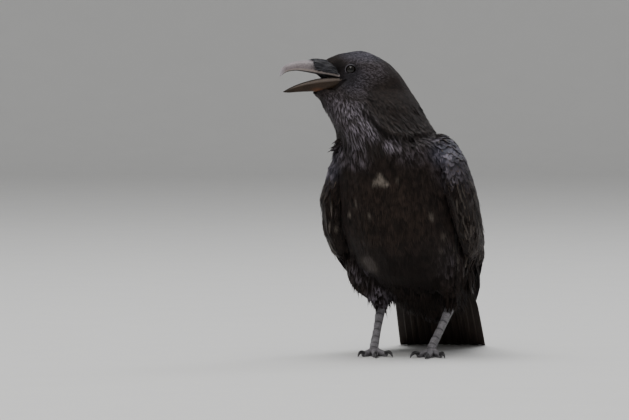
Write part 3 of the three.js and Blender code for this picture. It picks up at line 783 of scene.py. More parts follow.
def lay_paths(root, normal, group, rows, rng, lift=0.6, way=None, long=None, wide=None):
    """The line that each feather follows from its root to its tip, just over the skin. way, long and wide are
    for feathers that don't take their direction, length and width from the coat round them."""
    lie, length, width, depth, loose = coat_at(root, group)
    if way is not None:
        lie, length, width = way, long, wide
    count = len(root)
    grain = UNRULY * rng.normal(size=(count, 3))
    length = length * np.exp(rng.normal(0, VARIES, count))
    width = width * np.exp(rng.normal(0, VARIES, count))
    along = lie + grain
    along = unit(along - normal * (along * normal).sum(1, keepdims=True))
    path, out = np.empty((2, count, rows, 3))
    firm = np.ones((count, rows))
    path[:, 0] = root - normal * depth[:, None]
    out[:, 0] = normal
    here, facing = root, normal
    stray = rng.random(count) ** (3.0 if way is None else 0.5) * lift * MM
    for r in range(1, rows):
        t = r / (rows - 1)
        ahead = here + along * (length / (rows - 1))[:, None]
        near, near_normal = settle(ahead)
        pull = near - ahead
        away = np.linalg.norm(pull, axis=1)
        hold = (1 - loose * t) * smoothstep((near_normal * facing).sum(1), 0.1, 0.6) \
            * smoothstep((near_normal * normal).sum(1), -0.15, 0.35)
        firm[:, r] = np.minimum(firm[:, r - 1], hold)
        here = ahead + pull * (hold * np.minimum(1, 2.5 * MM / np.maximum(away, 1e-9)))[:, None]
        facing = unit(near_normal * hold[:, None] + facing * (1 - hold)[:, None])
        rise = stray * t + rng.normal(0, 0.08, count) * MM - depth * (1 - t) ** 1.6
        path[:, r] = here + facing * rise[:, None]
        out[:, r] = facing
        along = along + 0.5 * ((coat_at(here, group)[0] if way is None else way) + grain)
        along = unit(along - facing * (along * facing).sum(1, keepdims=True))
    return path, out, width, firm


def between(rows, t):
    """Values at t (0..1, feather by feather) along paths given row by row."""
    place_on = np.clip(t, 0, 1) * (rows.shape[1] - 1)
    i = np.minimum(place_on.astype(int), rows.shape[1] - 2)
    f = (place_on - i)[..., None]
    n = np.arange(len(rows)).reshape(-1, *([1] * (t.ndim - 1)))
    return rows[n, i] * (1 - f) + rows[n, i + 1] * f


def on_the_map(uv, across, along):
    """Places on the skin's map for feathers: each is a small patch round its root's own place."""
    patch = np.stack([across, along * 2 - 1], -1) * MAP_PATCH
    return (np.clip(uv, MAP_MARGIN, 1 - MAP_MARGIN)[:, None, None] + patch).reshape(-1, 2)


def vane_marks(across, along, shade, wear):
    """The "vane" attribute: how far across and along the feather, its shade and how worn it is."""
    every = (across * 0.5 + 0.5, along, np.broadcast_to(shade, along.shape),
             np.broadcast_to(wear, along.shape))
    return np.stack(every, -1).reshape(-1, 4)


def strands_of(path, out, width, uv, shade, wear, rng, strands=5, rows=4, point=0.5, camber=0.16, splay=0.12,
               fray=0.14, waist=0.35, tilt=0.10, cover=1.3):
    """Each feather as a fan of narrow strands that part towards its tip."""
    count = len(path)
    across = ((np.arange(strands) + 0.5) / strands * 2 - 1)[None, :]
    end = 1 - point * 0.55 * np.abs(across) ** 1.6 - fray * rng.random((count, strands))
    shift = across + rng.normal(0, 0.25 / strands, (count, strands))
    t = np.linspace(0, 1, rows)[None, None, :] * end[..., None]
    centre = between(path, t)
    up = unit(between(out, t))
    ahead = between(path, np.minimum(t + 0.04, 1)) - between(path, np.maximum(t - 0.04, 0))
    side = unit(np.cross(ahead, up))
    shape = waist + (1 - waist) * np.sin(np.pi * np.clip(0.08 + t * 0.86, 0, 1)) ** 0.6
    half = width[:, None, None] / 2 * shape * (1 + splay * t)
    taper = np.clip((1 - t / end[..., None]) / 0.45, 0, 1) ** 0.8
    own = width[:, None, None] / (2 * strands) * shape * cover * np.maximum(taper, 0.02)
    curl = rng.normal(0, 0.05, (count, strands, 1)) * t**2
    line = centre + side * ((shift[..., None] + curl) * half)[..., None]
    line = line - up * (camber * width[:, None, None] * (shift[..., None] ** 2) * shape)[..., None]
    edge = (side + up * rng.normal(0, tilt, (count, strands, 1, 1))) * own[..., None]
    edges = np.stack([line - edge, line + edge], 3)[:, :, :-1].reshape(count, strands, -1, 3)
    points = np.concatenate([edges, line[:, :, -1:]], 2)
    per = 2 * (rows - 1) + 1
    quads = np.array([[2 * r, 2 * r + 1, 2 * r + 3, 2 * r + 2] for r in range(rows - 2)]).reshape(-1, 4)
    tips = np.array([[2 * (rows - 2), 2 * (rows - 2) + 1, per - 1]])
    starts = (np.arange(count * strands) * per)[:, None, None]
    faces = [(quads[None] + starts).reshape(-1, 4), (tips[None] + starts).reshape(-1, 3)]
    row_t = np.concatenate([np.repeat(t[..., :-1], 2, axis=-1), t[..., -1:]], -1)
    u = np.broadcast_to(shift[..., None], row_t.shape).copy()
    u[..., 0:-1:2] -= 1 / strands
    u[..., 1:-1:2] += 1 / strands
    u = np.clip(u, -1, 1)
    shade = np.clip(shade[:, None] + rng.normal(0, 0.13, (count, strands)), 0, 1)
    vane = vane_marks(u, row_t, shade[..., None], wear[:, None, None])
    return points.reshape(-1, 3), faces, on_the_map(uv, u, row_t), vane


def broad_vanes(path, out, width, uv, shade, wear, rng, columns=4, rows=6, camber=0.10, tip=0.34, ragged=0.05,
                lean=0.06):
    """Each feather as one smooth vane with a rounded, slightly ragged tip."""
    count = len(path)
    w = np.linspace(-1, 1, columns + 1)[None, None, :]
    end = (1 - tip * np.abs(w) ** 2.4) * (1 - ragged * rng.random((count, 1, columns + 1)))
    t = np.linspace(0, 1, rows + 1)[None, :, None] * end
    centre = between(path, t)
    up = unit(between(out, t))
    ahead = between(path, np.minimum(t + 0.04, 1)) - between(path, np.maximum(t - 0.04, 0))
    side = unit(np.cross(ahead, up))
    shape = 0.35 + 0.65 * np.sin(np.pi * np.clip(0.10 + t * 0.72, 0, 1)) ** 0.7
    half = width[:, None, None] / 2 * shape
    lean = rng.normal(0, lean, (count, 1, 1))
    drop = camber * width[:, None, None] * w**2 * shape - lean * w * half
    points = centre + side * (w * half)[..., None] - up * drop[..., None]
    per = (rows + 1) * (columns + 1)
    faces = (grid_faces(rows + 1, columns + 1)[None] + (np.arange(count) * per)[:, None, None]).reshape(-1, 4)
    w = np.broadcast_to(w, t.shape)
    vane = vane_marks(w, t, shade[:, None, None], wear[:, None, None])
    return points.reshape(-1, 3), [faces], on_the_map(uv, w, t), vane


def clear_of_eyes(path, clear=6.9 * MM):
    """How much of each feather's length may stay before it would come too near an eye's middle, 0..1."""
    keep = np.ones(len(path))
    t = np.linspace(0, 1, 13)
    fine = between(path, np.broadcast_to(t, (len(path), len(t))))
    for at in EYE_AT.values():
        eye = place(at + np.array(EYE_SEAT), head=True)
        inside = np.linalg.norm(fine - eye, axis=2) < clear
        keep = np.minimum(keep, np.where(inside.any(1), t[inside.argmax(1)], 1.0))
    return keep


def roots_for(choose, rng, crowd):
    """Roots of one coat: place, normal, group and place on the skin's map. The bill and the eyes stay bare,
    and so does the corner of the mouth between the halves of the bill."""
    points, faces, normals, groups = made["points"], made["faces"], made["normals"], made["groups"]
    centre = points[faces].mean(1)
    group = groups[faces[:, 0]]
    wanted = choose(centre, group, normals[faces[:, 0]])
    _, length, width, _, _ = coat_at(centre, group)
    step = np.sqrt(length * width) * 0.30 * bpy.context.scene.raven_coat.spacing / crowd
    face, share = scatter(step, rng, wanted)
    spot = (points[faces[face]] * share[..., None]).sum(1)
    normal = unit((normals[faces[face]] * share[..., None]).sum(1))
    uv = (made["corner_uv"][face] * share[..., None]).sum(1)
    forward, side, up = in_head_axes(spot)
    gape = (forward > 19 - 1.18 * (11.4 + up)) & (up > -20.5) & (up < -8) & (np.abs(side) > 6)
    fit = ~(gape & (group[face] == 0))
    if choose in (is_head, is_throat):
        nodes = map(tidy_node, ("upper_bill", "lower_bill", "left_eye", "right_eye"))
        bare = [tree_of(points, faces) for points, _, faces in nodes]
        fit &= np.array([min(tree.find_nearest(p)[3] for tree in bare) for p in spot]) > 0.5 * MM
    return spot[fit], normal[fit], group[face][fit], uv[fit]


def grow_coat(name, slot, choose, seed, material, crowd=1.0, path_rows=5, maker=strands_of, lift=0.6,
              wear=0.3, **shape):
    """One coat of feathers over the places that choose picks out. They carry painted shade, blacker in the
    folds, in the face's shadows, under the body and low on the wings, and are more even in tone on the
    shoulders."""
    rng = np.random.default_rng(seed)
    root, normal, group, uv = roots_for(choose, rng, crowd)
    path, out, width, firm = lay_paths(root, normal, group, path_rows, rng, lift)
    last = (firm > 0.15).sum(1) / path_rows
    keep = np.minimum(clear_of_eyes(path), np.where(last < 1, last + 0.12, 1.0))
    fit = keep > 0.4
    root, group, uv, path, out, width, keep = (a[fit] for a in (root, group, uv, path, out, width, keep))
    t = np.linspace(0, 1, path_rows)[None] * keep[:, None]
    path, out = between(path, t), between(out, t)
    shade, worn = rng.random(len(root)), rng.random(len(root)) ** 1.5 * wear
    points, faces, flat, vane = maker(path, out, width, uv, shade, worn, rng, **shape)
    per = len(points) // len(root)
    group = np.repeat(group, per)
    # painted shade: darker in the folds and in the face's shadows
    deep = folds(points)[1]
    # painted shade: the body's feathers are darker where they face downwards
    under = np.repeat(smoothstep(-out[:, 0, 2], 0.25, 0.85), per) * (group == 0)
    wing = (group == 1) | (group == 2)
    shoulder = smoothstep(height_of(points), 185, 210) * wing
    # painted shade: the wings' feathers are darker low down
    low = (1 - smoothstep(height_of(points), 130, 195)) * wing
    vane[:, 2] = vane[:, 2] * (1 - 0.5 * shoulder) + 0.30 * shoulder
    vane[:, 2] *= (1 - 0.9 * deep) * (1 - 0.75 * under) * (1 - 0.85 * low)
    mark = markings_and_sheen(points, group) * (1 - 0.75 * deep)[:, None]
    piece = mesh_piece(name, points, faces, [material], flat, {"mark": mark, "vane": vane})
    return settle_piece(piece, slot)


# ---------------------------------------- coat
# loose tufts: place in the bird's axes, how far it spreads, direction, length, width, how many, group, wear
STRAYS = (
    ((-83, -76.5, 291), (2.5, 2.5, 1.5), (0.80, 0.34, -0.42), 9, 2.0, 110, 0, 0.0),
    ((-76, -74, 288), (2.5, 3.0, 1.5), (0.70, 0.3, -0.6), 10, 2.2, 70, 0, 0.0),
    ((-60.5, -77, 233.5), (1.2, 2, 2.2), (-1.0, -0.1, -0.36), 12, 2.8, 32, 0, 0.1),
    ((-60, -62, 222), (1.5, 3, 3), (-0.6, 0.1, -0.8), 8, 2.6, 12, 0, 0.1),
    ((-54, -4, 96), (4, 8, 9), (-0.10, 0.15, -1), 13, 2.6, 76, 4, 0.1),
    ((-48, 4, 84), (4, 8, 6), (-0.05, 0.15, -1), 13, 2.4, 70, 4, 0.1),
    ((-43, 6, 74), (1.5, 6, 2.5), (0.08, 0.10, -1), 15, 2.4, 26, 4, 0.1),
    ((-62, -10, 112), (3, 10, 8), (-0.08, 0.2, -1), 13, 3.0, 36, 2, 0.2),
    ((-8, 4, 70), (14, 8, 2), (0.0, 0.45, -0.9), 9, 2.2, 90, 0, 0.0),
    ((16, 30, 62), (14, 14, 3), (0.0, 0.45, -0.9), 12, 2.4, 160, 0, 0.0),
    ((8, 60, 52), (24, 22, 4), (0.0, 0.5, -0.85), 13, 2.8, 220, 0, 0.0),
    ((4, 94, 42), (20, 16, 3), (0.0, 0.75, -0.55), 13, 3.0, 160, 0, 0.0),
    ((56, 4, 90), (4, 8, 8), (0.05, 0.2, -1), 15, 2.4, 70, 3, 0.1),
    ((66, 18, 112), (4, 8, 6), (-0.02, 0.26, -1), 34, 5.0, 24, 1, 0.9),
    ((63, 36, 100), (4, 10, 6), (-0.01, 0.30, -1), 30, 5.0, 50, 1, 0.9),
    ((62, 30, 92), (3, 6, 4), (0.06, 0.22, -1), 26, 5.0, 60, 3, 0.3),
    ((-30, 40, 66), (6, 10, 4), (0.0, 0.4, -0.9), 16, 3.0, 70, 0, 0.0),
    ((43, 22, 62), (5, 6, 2.5), (-0.08, -0.3, -1), 14, 2.6, 90, 3, 0.1),
    ((-37, 22, 62), (5, 6, 2.5), (0.05, -0.3, -1), 10, 2.4, 40, 4, 0.1),
)
# long feathers laid over the coat of both sides: place on the left side, how far they spread, direction,
# length, width, how many, and their wear on the left and on the right, where no wear means no feathers
SCAPULARS = (
    ((40, 22, 180), (4, 9, 7), (0.0, 0.70, -0.70), 44, 9.5, 50, (0.4, 0.4)),
    ((40, 44, 158), (3, 9, 7), (0.0, 0.74, -0.67), 44, 9.5, 60, (0.4, 0.4)),
    ((37, 66, 134), (3, 9, 7), (0.0, 0.76, -0.65), 44, 9.5, 60, (0.4, 0.4)),
)
WING_STREAKS = (
    ((73, -58, 186), (3, 5, 10), (0.14, 0.30, -0.95), 26, 2.4, 50, (1.0, 0.5)),
    ((80, -44, 170), (3, 6, 12), (0.06, 0.34, -0.94), 32, 2.6, 90, (1.0, 0.5)),
    ((84, -22, 152), (3, 8, 12), (0.0, 0.34, -0.94), 36, 2.8, 90, (1.0, 0.5)),
    ((82, -8, 134), (4, 8, 8), (-0.02, 0.32, -0.95), 40, 3.0, 90, (1.0, 0)),
    ((77, 6, 122), (4, 7, 5), (-0.02, 0.30, -0.95), 40, 3.4, 70, (1.0, 0)),
)
NECK_FOOT = 236  # how high the throat's feathers end and the body's begin


def in_head_axes(at):
    """How far places are in front of the eyes, out to the side and above them, in the head's axes (mm)."""
    d = (at - STANDS_AT) / MM - HEAD_AT
    c, s = math.cos(HEAD_TURN), math.sin(HEAD_TURN)
    return d[:, 0] * s - d[:, 1] * c, d[:, 0] * c + d[:, 1] * s, d[:, 2]


# What each coat covers. Each is asked with places on the skin, their groups and their normals.
def is_head(at, group, normal):
    forward, _, up = in_head_axes(at)
    jaw = -24 - 0.55 * np.maximum(forward, 0) + 0.25 * np.minimum(forward, 0)
    return (group == 0) & (up > jaw) & (up > -34)


def is_throat(at, group, normal):
    return (group == 0) & ~is_head(at, group, normal) & (height_of(at) > NECK_FOOT)


def is_body(at, group, normal):
    return (group == 0) & ~is_head(at, group, normal) & (height_of(at) <= NECK_FOOT)


def is_breast(at, group, normal):
    front = (normal[:, 1] < 0.25) & (height_of(at) > 60)
    return is_body(at, group, normal) & (front | (normal[:, 2] < -0.05))


def is_back(at, group, normal):
    return is_body(at, group, normal) & ~is_breast(at, group, normal)


def is_all_of(name):
    """The choice of every place in one group."""
    number = GROUPS.index(name)
    return lambda at, group, normal: group == number


class RAVEN_OT_coat(bpy.types.Operator):
    """Contour feathers of the head, throat, breast, back, thighs and wing coverts"""
    bl_idname = "raven.coat"
    bl_label = "Coat"

    def execute(self, context):
        soft = plumage("plumage_soft", rough=0.62, glossy=0.12, sheen=0.03)
        velvet = plumage("plumage_velvet", rough=0.60, glossy=0.18, sheen=0.06, barbs=0.5)
        silky = plumage("plumage_throat", rough=0.50, glossy=0.21, sheen=0.06)
        back = plumage("plumage_back", rough=0.50, glossy=0.30, barbs=0.6, fine=2.0)
        wing = plumage("plumage_wing", rough=0.46, glossy=0.17, barbs=0.6, fine=2.0)
        grow_coat("coat_head", "head_plumage", is_head, 11, velvet, crowd=1.6, path_rows=4,
                  strands=3, rows=3, point=0.4, fray=0.25, lift=0.35, wear=0.1, cover=1.4)
        grow_coat("coat_throat", "throat_plumage", is_throat, 12, silky, crowd=1.5, path_rows=6,
                  strands=3, rows=5, point=1.1, fray=0.25, waist=0.55, splay=-0.2, lift=1.2, wear=0.1,
                  tilt=0.2)
        grow_coat("coat_breast", "body_plumage", is_breast, 13, soft, crowd=1.5,
                  strands=6, rows=5, fray=0.18, lift=0.7, tilt=0.06, cover=1.45)
        grow_coat("coat_back", "body_plumage", is_back, 14, back, crowd=0.95, maker=broad_vanes, wear=0.25,
                  ragged=0.16, camber=0.06, tip=0.42)
        for hand, seed in (("left", 15), ("right", 16)):
            grow_coat(f"coat_{hand}_wing", "wing_plumage", is_all_of(f"{hand}_wing"), seed, wing, path_rows=6,
                      maker=broad_vanes, wear=1.3, ragged=0.12, lean=0.16)
            grow_coat(f"coat_{hand}_thigh", "body_plumage", is_all_of(f"{hand}_thigh"), seed + 4, soft,
                      crowd=1.4, strands=4, rows=4, fray=0.3, point=0.8, lift=1.5)
        self.strays(soft)
        self.long_vanes("coat_scapulars", "body_plumage", SCAPULARS, (0, 0), 0.8, back, 62)
        self.long_vanes("coat_wing_streaks", "wing_plumage", WING_STREAKS, (1, 2), 2.4, wing, 63)
        return {"FINISHED"}

    @staticmethod
    def long_vanes(name, slot, table, groups, lift, material, seed):
        """Long feathers laid over the rest of the coat on the left and on the right. On the wings they are
        darker, and a few are bleached."""
        rng = np.random.default_rng(seed)
        spots, ways, rest = [], [], []
        for side, hand in enumerate((1, -1)):
            mirrored = (hand, 1, 1)
            for at, spread, way, length, width, count, wear in table:
                if wear[side]:
                    spots.append((np.array(at) + rng.normal(0, 1, (count, 3)) * np.array(spread)) * mirrored)
                    ways.append(np.tile(unit(np.array(way) * mirrored), (count, 1)))
                    rest.append(np.tile((length * MM, width * MM, wear[side], groups[side]), (count, 1)))
        hits = [made["outside"].find_nearest(spot) for spot in place(np.concatenate(spots))]
        root, normal = (np.array([hit[k] for hit in hits]) for k in (0, 1))
        long, wide, wear, group = np.concatenate(rest).T
        group = group.astype(int)
        path, out, width, _ = lay_paths(root, normal, group, 9, rng, lift, np.concatenate(ways), long, wide)
        shade, worn = rng.random(len(hits)), wear * rng.uniform(0.3, 1.0, len(hits))
        uv = made["corner_uv"][[hit[2] for hit in hits]].mean(1)
        points, faces, flat, vane = broad_vanes(path, out, width, uv, shade, worn, rng, rows=10, camber=0.06,
                                                tip=0.42, ragged=0.12)
        bleached = 0.34 * rng.random(len(hits)) ** 4 * (group > 0)
        group, bleached = (np.repeat(a, len(points) // len(hits)) for a in (group, bleached))
        mark = markings_and_sheen(points, group)
        mark[:, 3] = np.maximum(mark[:, 3], bleached)
        vane[:, 2] *= 1 - 0.4 * (group > 0)
        settle_piece(mesh_piece(name, points, faces, [material], flat, {"mark": mark, "vane": vane}), slot)

    @staticmethod
    def strays(material):
        """The loose tufts that break the outline, over the right shoulder, thighs, belly and ankles."""
        rng = np.random.default_rng(61)
        paths, outs, widths, maps, groups, worn = [], [], [], [], [], []
        t = np.linspace(0, 1, 6)[:, None]
        bow = np.array([0, 0, -0.16]) * t**2
        for at, spread, way, length, width, count, group, wear in STRAYS:
            for spot in place(np.array(at) + rng.normal(0, 1, (count, 3)) * np.array(spread)):
                root, normal, face, _ = made["outside"].find_nearest(spot)
                course = unit(np.array(way) + rng.normal(0, 0.10, 3))
                long = length * MM * rng.uniform(0.65, 1.1)
                sunk = 1.5 * MM * np.array(normal) * (1 - t) ** 2
                paths.append(np.array(root) - sunk + (course * t + bow) * long)
                outs.append(np.tile(np.array(normal), (len(t), 1)))
                widths.append(width * MM * rng.uniform(0.7, 1.2))
                maps.append(made["corner_uv"][face].mean(0))
                groups.append(group)
                worn.append(wear * rng.random())
        paths, outs, widths, maps, worn = map(np.array, (paths, outs, widths, maps, worn))
        points, faces, flat, vane = strands_of(paths, outs, widths, maps, rng.random(len(paths)), worn, rng,
                                               strands=3, rows=5, point=0.8, fray=0.25, waist=0.7, splay=0.0,
                                               tilt=0.3)
        mark = markings_and_sheen(points, np.repeat(groups, len(points) // len(groups)))
        piece = mesh_piece("coat_strays", points, faces, [material], flat, {"mark": mark, "vane": vane})
        settle_piece(piece, "body_plumage")


class RAVEN_OT_bristles(bpy.types.Operator):
    """Stiff bristle feathers that lie forward over the root of the upper bill and the nostrils"""
    bl_idname = "raven.bristles"
    bl_label = "Nasal bristles"

    def execute(self, context):
        rng = np.random.default_rng(31)
        count, rows = 900, 6
        start = rng.uniform(-40, -25, count)
        angle = np.radians(rng.uniform(12, 168, count))
        reach = rng.uniform(13, 21, count) * (0.75 + 0.25 * np.sin(angle))
        t = np.linspace(0, 1, rows)[None, :]
        foremost = -45.5 - 12 * np.sin(angle[:, None]) ** 2 + rng.normal(0, 2.6, (count, 1))
        y = np.maximum(start[:, None] - reach[:, None] * t, foremost)
        turn = angle[:, None] + rng.normal(0, 0.10, (count, 1)) * t - 0.22 * t * np.cos(angle[:, None])
        forward = (19, 31, 44, 58, 70, 80, 86)  # of the bill's stations, one by one
        along = np.interp(-y, forward, np.linspace(0, 1, len(UPPER_BILL)))
        _, middle_up, half_wide, half_high = np.moveaxis(spline(np.array(UPPER_BILL, float), along), -1, 0)
        layer = rng.random((count, 1)) ** 0.7
        arched = np.sin(np.pi * np.clip(0.22 + 0.72 * t, 0, 1)) ** 0.8 * np.linspace(1.0, 0.6, rows)
        height = 0.3 + 1.9 * layer * arched + 1.6 * (1 - t) * smoothstep(start[:, None], -36, -26)
        outward = np.stack([np.cos(turn), np.zeros_like(turn), np.sin(turn)], -1)
        crown = middle_up + half_high * np.maximum(np.sin(turn), 0.0) ** 0.85
        line = np.stack([half_wide * np.cos(turn), y, crown], -1) + outward * height[..., None]
        path, out = place(line, head=True), turn_head(outward)
        face = np.array([made["outside"].find_nearest(p)[2] for p in path[:, 0]])
        uv = made["corner_uv"][face].mean(1)
        shade, width = rng.random(count), rng.uniform(1.3, 2.1, count) * MM
        points, faces, flat, vane = strands_of(path, out, width, uv, shade, np.zeros(count), rng, strands=2,
                                               rows=5, point=1.0, fray=0.2, waist=0.7, splay=-0.2, tilt=0.3,
                                               cover=1.2)
        # painted sheen: the bristles' gloss is put into their colour
        mark = np.tile((0, 0.35, 0, 0), (len(points), 1))  # only glossy
        material = plumage("bristles", rough=0.50, glossy=0.26, barbs=0.3)
        piece = mesh_piece("nasal_tuft", points, faces, [material], flat, {"mark": mark, "vane": vane})
        settle_piece(piece, "head_plumage", "nasal_bristles")
        return {"FINISHED"}


# ---------------------------------------- quills
def quill(path, out, left, right, rng, rows=22, columns=8, thick=0.35, shaft=0.45, notches=2, tip=0.10,
          blunt=2.6):
    """One long feather as a thin closed vane with a raised shaft. Widths are either side of the shaft."""
    t = np.linspace(0, 1, rows) ** 0.9
    centre = spline(path, t)
    up = unit(spline(out, t))
    ahead = unit(np.gradient(centre, axis=0))
    side = unit(np.cross(ahead, up))
    up = np.cross(side, ahead)
    close = np.clip((1 - t) / tip, 0, 1)
    shape = (0.42 + 0.58 * smoothstep(t, 0.0, 0.35)) * (1 - (1 - close) ** blunt) ** (1 / blunt)
    shape[-1] = 0.04
    w = np.linspace(-1, 1, columns + 1)
    nick = np.ones((rows, 2))
    for k in range(2):
        for r in rng.integers(rows // 3, rows - 2, notches):
            nick[r, k] *= 1 - rng.uniform(0.04, 0.16)
    reach = np.where(w[None, :] < 0, left * nick[:, :1], right * nick[:, 1:]) * shape[:, None]
    swept = 0.35 * reach * np.abs(w)[None, :]
    bend = -0.10 * (w**2)[None, :] * reach
    ridge = np.where(np.abs(w) < 0.01, shaft * MM * (1 - t[:, None]) ** 0.7, 0.0)
    base = centre[:, None] + side[:, None] * (w[None, :] * reach)[..., None] \
        + ahead[:, None] * (swept * (t < 0.97)[:, None])[..., None] + up[:, None] * bend[..., None]
    body = thick * MM * (1 - 0.6 * t[:, None]) * (1 - 0.75 * np.abs(w)[None, :])
    top = base + up[:, None] * (body + ridge)[..., None]
    under = base - up[:, None] * (body * 0.6 + ridge * 0.6)[..., None]
    n = columns + 1
    top[..., 2] = np.maximum(top[..., 2], 0.5 * MM)
    under[..., 2] = np.maximum(under[..., 2], 0.1 * MM)
    points = np.concatenate([top.reshape(-1, 3), under.reshape(-1, 3)])
    sheet = grid_faces(rows, n)
    faces = [sheet, sheet[:, ::-1] + rows * n]
    last = rows * n
    rim = np.concatenate([np.arange(0, last, n), np.arange(last - n + 1, last),
                          np.arange(last - 1 - n, n - 2, -n), np.arange(n - 2, 0, -1)])
    following = np.roll(rim, -1)
    faces.append(np.stack([rim, rim + last, following + last, following], 1))
    across = np.broadcast_to(w[None, :] * 0.5 + 0.5, (rows, n))
    down = np.broadcast_to(t[:, None], (rows, n))
    return points, np.concatenate(faces), np.stack([across, down], -1).reshape(-1, 2)


def quill_piece(name, slot, feathers, material, seed, nodes=(), brown=0.9, worn=1.0, pale_tint=0.0):
    """Several long feathers joined. Each is a path, its outward side, its widths, its gloss and settings."""
    rng = np.random.default_rng(seed)
    points, faces, flat, mark, vane, start = [], [], [], [], [], 0
    cell = 1 / len(feathers)
    for k, (path, out, left, right, gloss, settings) in enumerate(feathers):
        p, f, across = quill(path, out, left, right, rng, **settings)
        a, b, c = p[f[0, :3]]
        if np.dot(np.cross(b - a, c - a), out[0]) < 0:
            f = f[:, ::-1]
        points.append(p)
        faces.append(f + start)
        start += len(p)
        for layer in range(2):
            flat.append(np.stack([(k + 0.04 + 0.92 * across[:, 0]) * cell,
                                  (layer + 0.03 + 0.94 * across[:, 1]) / 2], 1))
        shade, wear = rng.uniform(0.3, 0.7), rng.uniform(0.2, 0.8) * worn
        vane.append(np.column_stack([np.tile(across, (2, 1)), np.tile([shade, wear], (len(p), 1))]))
        # painted sheen: the gloss mark puts blue-violet into the colour
        mark.append(np.tile([0.0, gloss, brown - gloss, pale_tint], (len(p), 1)))
    piece = mesh_piece(name, np.concatenate(points), [np.concatenate(faces)], [material],
                       np.concatenate(flat), {"mark": np.concatenate(mark), "vane": np.concatenate(vane)})
    return settle_piece(piece, slot, *nodes)


def fan_line(fan, w, reach=1.0, start=0.0, raise_by=0.0, steps=8):
    """The line of one feather of a folded fan, w (-1..1) across it, and its outward direction."""
    t = np.linspace(start, reach, steps)
    line = spline(fan["spine"], t)
    along = unit(np.gradient(line, axis=0))
    across = spline(fan["across"], t)
    across = unit(across - along * (across * along).sum(1, keepdims=True))
    up = np.cross(along, across)
    wide = spline(np.array(fan["wide"])[:, None], t)
    thick = spline(np.array(fan["thick"])[:, None], t)
    lift = fan["camber"] * (1 - w * w) + thick / 2 * 0.75 + raise_by
    return line + across * wide * w + up * lift, up, across


# the two rows of a folded left wing: the middle line, the direction across it, and half its width and its
# thickness along it; how domed it is, how many feathers it has and how long their tips are
SECONDARY_FAN = {"spine": [(58, -24, 184), (67, 2, 150), (62, 38, 122), (46, 76, 99), (28, 112, 76)],
                 "across": [(-0.15, 0.75, 0.6), (-0.4, 0.65, 0.7), (-0.7, 0.4, 0.6)],
                 "wide": (30, 34, 33, 28, 18), "thick": (16, 16, 14, 10, 4), "camber": 8,
                 "count": 12, "tip": 0.12}
PRIMARY_FAN = {"spine": [(67, 8, 122), (65, 42, 94), (52, 82, 75), (42, 120, 64), (31, 156, 55)],
               "across": [(-0.3, 0.3, 1), (-0.45, 0.3, 1), (-0.6, 0.2, 0.8)],
               "wide": (15, 19, 19, 14, 8), "thick": (9, 8, 6, 4, 2.2), "camber": 3,
               "count": 9, "tip": 0.2}
TAIL = {"root": (14, 60, 87), "length": 168, "slope": 31, "turn": 8.5, "wide": (42, 45.5, 47.5, 49),
        "count": 12}


class RAVEN_OT_wings(bpy.types.Operator):
    """Long feathers of the folded wings: the row over the arm and the points behind it"""
    bl_idname = "raven.wings"
    bl_label = "Wing quills"

    def execute(self, context):
        material = plumage("quill_glossy", rough=0.48, glossy=0.20, barbs=0.5, fine=6.0)
        for hand, seed in (("left", 41), ("right", 42)):
            mirror = np.array([1.0 if hand == "left" else -1.0, 1, 1])
            shift = np.array(WING_SHIFT[hand])
            for row, fan in (("secondaries", SECONDARY_FAN), ("primaries", PRIMARY_FAN)):
                feathers = []
                count = fan["count"]
                for k in range(count):
                    w = -0.92 + 1.84 * k / (count - 1)
                    if row == "secondaries":
                        reach = min(1.0, 0.95 + 0.2 * w) - 0.012 * (k % 2)
                        start, tilt = 0.10 + 0.04 * (1 - w), 0.34
                    else:
                        reach = 1 - 0.10 * abs(w) - 0.22 * (1 - k / (count - 1)) ** 1.5
                        start, tilt = 0.0, 0.22
                    line, up, across = fan_line(fan, w, reach, start, raise_by=-1.2 + 1.6 * k / (count - 1))
                    up = unit(up + across * tilt)
                    line = line * mirror + shift
                    up = up * mirror
                    span = np.mean(fan["wide"]) * 2 / count
                    narrow, broad = span * 0.75 * MM, span * 1.35 * MM
                    sides = (broad, narrow) if hand == "left" else (narrow, broad)
                    feathers.append((place(line), up, *sides, 0.12, {"tip": fan["tip"]}))
                quill_piece(f"{hand}_{row}", "flight_feathers", feathers, material, seed,
                            (f"{hand}_wing_{row}",))
        return {"FINISHED"}


class RAVEN_OT_tail(bpy.types.Operator):
    """The twelve long tail feathers, the middle pair on top"""
    bl_idname = "raven.tail"
    bl_label = "Tail"

    def execute(self, context):
        material = plumage("quill_tail", rough=0.55, glossy=0.14, barbs=0.5, fine=6.0)
        slope, turn = math.radians(TAIL["slope"]), math.radians(TAIL["turn"])
        over = np.array([math.cos(turn), math.sin(turn), 0.0])
        level = np.array([-math.sin(turn), math.cos(turn), 0.0])
        ahead = level * math.cos(slope) - np.array([0, 0, math.sin(slope)])
        up = np.cross(over, ahead)
        feathers = []
        for k in range(TAIL["count"]):
            w = -0.93 + 1.86 * k / (TAIL["count"] - 1)
            reach = 1.0 - 0.022 * abs(w) ** 1.6 - 0.004 * (k % 2)
            t = np.linspace(0.12, reach, 8)
            wide = spline(np.array(TAIL["wide"])[:, None], t)
            line = np.array(TAIL["root"]) + t[:, None] * TAIL["length"] * ahead + over * wide * w * 0.92 \
                + up * (2.0 * (1 - w * w) - 0.6 + 3.5 * (1 - abs(w)) * (1 - t[:, None]))
            line[:, 2] -= (line[-1, 2] + 2.0) * (t / reach) ** 2
            hand = 1 if w > 0 else -1
            facing = unit(np.tile(up + over * 0.13 * hand, (8, 1)))
            outer, inner = 7.0 * MM, 12.5 * MM
            sides = (inner, outer) if hand > 0 else (outer, inner)
            feathers.append((place(line), facing, *sides, 0.0, {"tip": 0.06, "notches": 0}))
        # a slight pale tint over the tail feathers
        quill_piece("tail_feathers", "flight_feathers", feathers, material, 43, ("tail",), brown=0.7,
                    worn=0.35, pale_tint=0.025)
        return {"FINISHED"}


